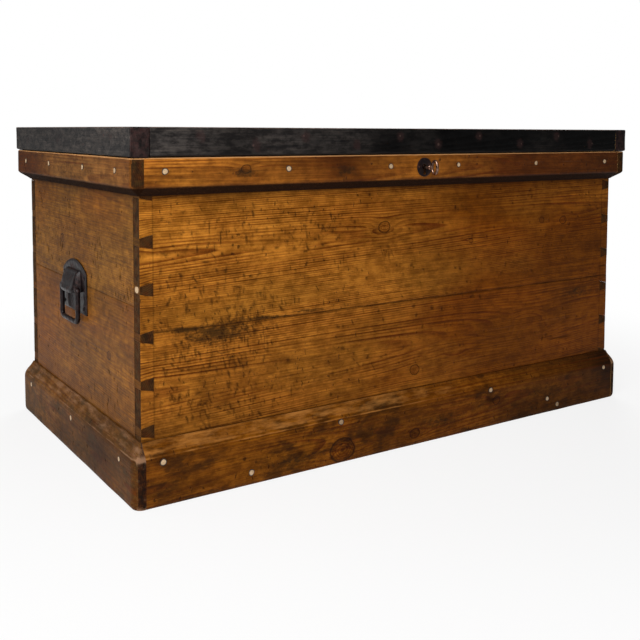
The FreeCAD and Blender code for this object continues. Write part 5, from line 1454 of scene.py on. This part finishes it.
def set_camera(scene):
    """A camera that looks along `forward`, is turned by the roll, and has its picture shifted down."""
    yaw, pitch, roll = CAMERA_TURN
    forward = np.array([math.sin(yaw) * math.cos(pitch), math.cos(yaw) * math.cos(pitch), -math.sin(pitch)])
    right = np.array([math.cos(yaw), -math.sin(yaw), 0])
    up = np.cross(right, forward)
    across = math.cos(roll) * right + math.sin(roll) * up
    above = -math.sin(roll) * right + math.cos(roll) * up
    lens = bpy.data.cameras.new("camera")
    lens.sensor_width, lens.lens, lens.shift_y = FILM_WIDTH, FOCAL_LENGTH, CAMERA_SHIFT
    lens.clip_start, lens.clip_end = CAMERA_CLIP
    camera = bpy.data.objects.new("camera", lens)
    scene.collection.objects.link(camera)
    turn = Matrix(np.stack([across, above, -forward], 1).tolist()).to_4x4()
    camera.matrix_world = Matrix.Translation(CAMERA_PLACE) @ turn
    scene.camera = camera


def lay_floor(scene):
    """A wide flat sheet, plain and pale, that fades to white for the camera away from the chest."""
    reach = np.linspace(-FLOOR_REACH, FLOOR_REACH, FLOOR_LINES)
    x, y = np.meshgrid(reach, reach, indexing="ij")
    points = np.stack([x, y, 0 * x], -1).reshape(-1, 3)
    quads = net(np.arange(FLOOR_LINES**2).reshape(FLOOR_LINES, FLOOR_LINES))
    floor = bpy.data.objects.new("floor", new_mesh("floor", points, quads))
    scene.collection.objects.link(floor)
    material, tree, shader, coords = new_material("Floor")
    tint = scene.chest_colours.floor
    give(shader, Base_Color=mix(noise(coords, 1.5, 2.0), tint, blend(0.02, tint, (0.8, 0.8, 0.8))))
    far = put(tree, "VectorMath", {"operation": "LENGTH"}, i0=coords).outputs["Value"]
    glow = put(tree, "Emission", Color=WHITE, Strength=1.0)
    faded = step_between(far, FADE_NEAR, FADE_FAR, FADE_LEAST, 1.0)
    share = times(faded, put(tree, "LightPath").outputs["Is Camera Ray"])
    both = put(tree, "MixShader", i0=share, i1=shader.outputs[0], i2=glow.outputs[0])
    tree.links.new(both.outputs[0], tree.nodes["Material Output"].inputs[0])
    shader.inputs["Roughness"].default_value = 0.9
    shader.inputs["Specular IOR Level"].default_value = 0.1
    floor.data.materials.append(material)


def light_room(scene):
    """One large soft light from the left, above the camera, two fainter ones, and the pale room."""
    stage = scene.chest_stage
    for name, share, size, spot, aim in LIGHTS:
        light = bpy.data.lights.new(name, "AREA")
        light.energy, light.size, light.shape = stage.key_power * share, size or stage.key_size, "SQUARE"
        lamp = bpy.data.objects.new(name, light)
        scene.collection.objects.link(lamp)
        lamp.location = spot
        lamp.rotation_mode = "QUATERNION"
        lamp.rotation_quaternion = (Vector(spot) - Vector(aim)).to_track_quat("Z", "Y")
    world = bpy.data.worlds.new("room")
    world.use_nodes = True
    tree = world.node_tree
    tree.nodes.clear()
    seen = put(tree, "Background", Color=WHITE, Strength=stage.backdrop)
    room = put(tree, "Background", Color=WHITE, Strength=stage.ambient)
    path = put(tree, "LightPath")
    shown = put(tree, "MixShader", i0=path.outputs["Is Camera Ray"], i1=room.outputs[0], i2=seen.outputs[0])
    leave = tree.nodes.new("ShaderNodeOutputWorld")
    tree.links.new(shown.outputs[0], leave.inputs[0])
    scene.world = world


class CHEST_OT_stage(bpy.types.Operator):
    """Sets the camera, the floor, the soft light and the finishes"""

    bl_idname = "chest.stage"
    bl_label = "Stage"

    def execute(self, context):
        scene = context.scene
        scene.view_settings.view_transform = "Standard"
        set_camera(scene)
        lay_floor(scene)
        light_room(scene)
        FINISH.update(build_materials())
        return {"FINISHED"}


# Sets of small marks on the front: seed, count, range along and range up in mm, and what isn't as usual
FRONT_TICKS = (
    (1, 260, (22, 340), (96, 410), {"wide": (0.8, 1.9), "gather": 1.3, "spread": 14}),
    (2, 240, (24, 215), (95, 290), {"wide": (0.9, 2.1), "gather": 1.0, "spread": 9}),
    (6, 60, (330, 920), (100, 415),
     {"long": (2.0, 5.0), "wide": (1.2, 2.6), "lean": 70, "gather": 1.0, "group": 2, "spread": 22}),
    (3, 150, (40, 920), (95, 420),
     {"long": (1.4, 3.6), "wide": (0.8, 2.0), "lean": 70, "gather": 1.0, "group": 3, "spread": 16}),
    (4, 110, (60, 180), (205, 240), {"long": (2.0, 5.0), "wide": (0.8, 2.2), "lean": 12, "gather": 1.0, "group": 9}),
)
BACK_TICKS = (5, 90, (20, 920), (95, 420))
BACK_HEART_BELOW, BACK_HEART_ABOVE = 40 * MM, 90 * MM
# An end's marks and knots, and its two boards: which one, stains, heart above the floor in metres, heart's depth, and
# what is added to the end's seed
END_TICKS = (120, (20, 480), (95, 425))
END_SEEDS = {"left": 31, "right": 41}
END_KNOTS = ((330, 330, 7, 1.6), (120, 180, 6, 1.4))
END_BOARDS = (
    ("lower", ((380, 150, 60, 26, 80, 0.4),), 0.20, 0.06, 0),
    ("upper", ((150, 300, 50, 20, 85, 0.3),), 0.42, 0.05, 1),
)
END_STEP, BOTTOM_STEP, BOTTOM_ARRIS = 2.6 * MM, 9 * MM, 0.8 * MM
BOTTOM_COUNT = 5


class CHEST_OT_boards(bpy.types.Operator):
    """Makes the dovetailed front, back and end boards and the bottom"""

    bl_idname = "chest.boards"
    bl_label = "Boards"

    def execute(self, context):
        sizes = context.scene.chest_sizes
        ticks = [scattered(*where, **how) for *where, how in FRONT_TICKS]
        fine = (sizes.board_step, FINISH["front"], np.concatenate([FRONT_MARKS, *ticks]), FRONT_STAINS, FRONT_PATINA)
        tail_board("front_board_lower", *fine, LOWER_KNOTS, 0.150, 0.032, 11)
        tail_board("front_board_upper", *fine, FRONT_KNOTS, 0.338, 0.020, 12)
        coarse = (sizes.coarse_step, FINISH["front"], scattered(*BACK_TICKS, gather=1.0), (), ())
        tail_board("back_board_lower", *coarse, ((300, 150, 9, 2.0),), JOINT_LEVEL - BACK_HEART_BELOW, 0.05, 13)
        tail_board("back_board_upper", *coarse, ((640, 350, 10, 2.0),), JOINT_LEVEL + BACK_HEART_ABOVE, 0.05, 14)
        for side, seed in END_SEEDS.items():
            cuts = scattered(seed, *END_TICKS, gather=1.0)
            for which, stains, heart, depth, more in END_BOARDS:
                node = f"{side}_end_board_{which}"
                pin_board(node, END_STEP, FINISH["ends"], cuts, stains, END_KNOTS, heart, depth, seed + more)
        for n in range(1, BOTTOM_COUNT + 1):
            heart, depth = -0.47 + 0.188 * n - 0.11 * (n % 2), 0.02 + 0.017 * n
            look = (BOTTOM_STEP, FINISH["bottom"], "chest", "pine", BOTTOM_ARRIS, heart, depth)
            plain_board(f"bottom_board_{n}", *look, seed=50 + n)
        return {"FINISHED"}


# Knots, marks and stains of the plinth's and the band's pieces, in mm from a piece's left or front end and above the
# floor, their numbers in the order that the front's have
SIDE_STAINS = ((250, 24, 230, 20, 90, 0.40), (60, 60, 50, 12, 85, 0.3))
PLINTH = {
    "front": (
        ((317, 20, 17.5, 2.2), (459, 20, 8, 1.6), (640, 44, 7, 1.2)),
        ((241, 30, 9, 5, 60, 0.6), (355, 35, 10, 6, 80, 0.7), (624, 47, 12, 6, 80, 0.7), (459, 20, 16, 1.2, 70, 0.7),
         (459, 20, 14, 1.0, 110, 0.7), (580, 60, 16, 2, 85, 0.5), (120, 45, 18, 1.5, 88, 0.5)),
        ((380, 78, 60, 9, 88, 0.6), (240, 20, 60, 14, 88, 0.6), (520, 30, 60, 16, 88, 0.6),
         (760, 40, 90, 22, 88, 0.5), (90, 70, 40, 8, 88, 0.4)),
    ),
    "back": (((500, 40, 10, 1.8),), (), ((300, 30, 80, 18, 88, 0.5),)),
    "left": ((), (), SIDE_STAINS),
    "right": (((260, 42, 9, 1.6),), (), SIDE_STAINS),
}
BAND = {
    "front": (
        ((150, 452, 6, 1.4), (762, 452, 22, 3.4)),
        ((470, 446, 12, 9, 0, 1.3), (140, 450, 10, 1.5, 86, 0.7), (316, 448, 12, 5, 80, 0.55),
         (146, 444, 8, 2.4, 70, 0.6)),
        ((150, 446, 30, 10, 86, 0.6), (318, 446, 26, 12, 86, 0.6), (60, 440, 40, 8, 88, 0.3)),
    ),
    "back": (((420, 450, 7, 1.6),), (), ()),
    "left": ((), (), ((250, 440, 120, 14, 90, 0.4),)),
    "right": ((), (), ()),
}
MOULDING_STEP, PLINTH_RISE, BAND_RISE, PLINTH_ROUGH, BAND_ROUGH = 3.2 * MM, 19 * MM, -11.7 * MM, 0.6 * MM, 0.3 * MM


def turned(finish, side):
    """The finish for a piece of that side: at the two ends the grain runs front to back."""
    return FINISH[finish + "_turned" if side in ("left", "right") else finish]


class CHEST_OT_mouldings(bpy.types.Operator):
    """Makes the plinth and the band"""

    bl_idname = "chest.mouldings"
    bl_label = "Plinth and Band"

    def execute(self, context):
        sizes = context.scene.chest_sizes
        for name, pieces, corner, rise, rough, seed in (
            ("plinth", PLINTH, sizes.corner, PLINTH_RISE, PLINTH_ROUGH, 60),
            ("band", BAND, sizes.band_corner, BAND_RISE, BAND_ROUGH, 80),
        ):
            for side, (knots, marks, stains) in pieces.items():
                look = (turned(name, side), name + "_pine", corner, rise, marks, stains, knots)
                moulding(f"{name}_{side}", MOULDING_STEP, *look, seed + len(side), rough)
        return {"FINISHED"}


# The lid boards: the heart's place from front to back and its depth, in metres, and the knots
LID_BOARDS = (
    (-0.215, 0.030, ((620, -150, 9, 2.0),)),
    (0.075, 0.085, ((250, 30, 7, 1.6), (800, -20, 8, 1.8))),
    (0.150, 0.018, ((430, 190, 11, 2.2),)),
)
# Rust round the nails: their levels in mm, and their places as shares of the front rim's length between the sides
NAIL_ROWS = ((497.7, (0.079, 0.259, 0.447, 0.625, 0.826)), (484.3, (0.171, 0.356, 0.530, 0.728, 0.921)))
RIM_LENGTH = 924
FRONT_RUST = [(share * RIM_LENGTH, level, 10, 8.5, 0, 1.0) for level, shares in NAIL_ROWS for share in shares]
SIDE_RUST = ((70, 495, 12, 8, 80, 0.6), (300, 490, 16, 9, 80, 0.6), (470, 486, 12, 8, 80, 0.6))
LID_STEP, RIM_STEP, RIM_DROP = 5 * MM, 3.4 * MM, 1.1 * MM
LID_BOARD_WIDTH = 160


class CHEST_OT_lid(bpy.types.Operator):
    """Makes the lid's boards and its rim"""

    bl_idname = "chest.lid"
    bl_label = "Lid"

    def execute(self, context):
        sizes = context.scene.chest_sizes
        for n, (heart, depth, knots) in enumerate(LID_BOARDS):
            seed, front = 91 + n, (n - 1.5) * LID_BOARD_WIDTH
            worn = scattered(seed, 60, (20, 900), (front, front + LID_BOARD_WIDTH), lean=60, gather=1.0)
            look = (LID_STEP, FINISH["lid"], "lid", "painted_pine", sizes.arris, heart, depth, knots, worn)
            plain_board(f"lid_board_{n + 1}", *look, seed=seed)
        for side in ("front", "back", "left", "right"):
            stains = SIDE_RUST if side in ("left", "right") else FRONT_RUST
            look = (RIM_STEP, turned("lid", side), "lid", "painted_pine", sizes.lid_arris)
            plain_board("lid_rim_" + side, *look, stains=stains, seed=100 + len(side), drop=RIM_DROP)
        return {"FINISHED"}


class CHEST_OT_handles(bpy.types.Operator):
    """Makes the lifting handle on each end"""

    bl_idname = "chest.handles"
    bl_label = "Handles"

    def execute(self, context):
        handle(-1, "left")
        handle(1, "right")
        return {"FINISHED"}


class CHEST_OT_lock(bpy.types.Operator):
    """Makes the escutcheon and the key"""

    bl_idname = "chest.lock"
    bl_label = "Escutcheon and Key"

    def execute(self, context):
        escutcheon()
        key()
        return {"FINISHED"}


class CHEST_OT_fasteners(bpy.types.Operator):
    """Makes the pegs and the lid's nail heads"""

    bl_idname = "chest.fasteners"
    bl_label = "Pegs and Nails"

    def execute(self, context):
        sizes = context.scene.chest_sizes
        sides = ((1, -1), (0, -1), (0, 1))
        pegs = (sides, sizes.peg_radius, PEG_PROUD, PEG_DOME, "peg", "chest", "peg_wood")
        round_heads("band_peg_faces", "band_pegs", *pegs, 3)
        round_heads("plinth_peg_faces", "plinth_pegs", *pegs, 4)
        corner_filler()
        nails = ((1, -1), (1, 1), (0, -1), (0, 1)), sizes.nail_radius, NAIL_PROUD, NAIL_DOME, "nail", "lid", "nail_iron"
        round_heads("lid_nail_heads", "lid_nails", *nails, 5)
        return {"FINISHED"}


# The finish of each material slot that the small parts have
SMALL_FINISHES = {
    "black_iron": "iron", "lock_iron": "lock", "key_iron": "key", "nail_iron": "nail", "peg_wood": "peg",
}


class CHEST_OT_ironwork(bpy.types.Operator):
    """Finishes the hinges, the lock, the screws and the nails that are shown as built"""

    bl_idname = "chest.ironwork"
    bl_label = "Hinges and Screws"

    def execute(self, context):
        slots = {part["node"]: part["material_slot"] for part in frame["record"]["subparts"]}
        for node, piece in frame["nodes"].items():
            if piece.hide_render:
                continue
            if slots[node] not in SMALL_FINISHES:
                raise RuntimeError(f"{node} has no finish")
            for slot in piece.material_slots:
                slot.material = FINISH[SMALL_FINISHES[slots[node]]]
        return {"FINISHED"}


class CHEST_PT_panel(bpy.types.Panel):
    """Lists the chest's pieces, sizes and colours"""

    bl_label = "Fitted Chest"
    bl_idname = "CHEST_PT_panel"
    bl_space_type = "VIEW_3D"
    bl_region_type = "UI"
    bl_category = "Chest"

    def draw(self, context):
        for operator in OPERATORS:
            self.layout.operator(operator.bl_idname)
        for owner in (context.scene.chest_sizes, context.scene.chest_colours, context.scene.chest_stage):
            for name in owner.__annotations__:
                self.layout.prop(owner, name)


GROUPS = {"chest_sizes": ChestSizes, "chest_colours": ChestColours, "chest_stage": ChestStage}
OPERATORS = (CHEST_OT_stage, CHEST_OT_boards, CHEST_OT_mouldings, CHEST_OT_lid, CHEST_OT_handles, CHEST_OT_lock,
             CHEST_OT_fasteners, CHEST_OT_ironwork)


def register():
    for made in (*GROUPS.values(), *OPERATORS, CHEST_PT_panel):
        bpy.utils.register_class(made)
    for name, made in GROUPS.items():
        setattr(bpy.types.Scene, name, PointerProperty(type=made))


def unregister():
    for name in GROUPS:
        delattr(bpy.types.Scene, name)
    for made in (CHEST_PT_panel, *reversed(OPERATORS), *GROUPS.values()):
        bpy.utils.unregister_class(made)


def main():
    """Dresses the whole chest."""
    register()
    for operator in OPERATORS:
        family, name = operator.bl_idname.split(".")
        getattr(getattr(bpy.ops, family), name)()


if __name__ == "__main__":
    main()
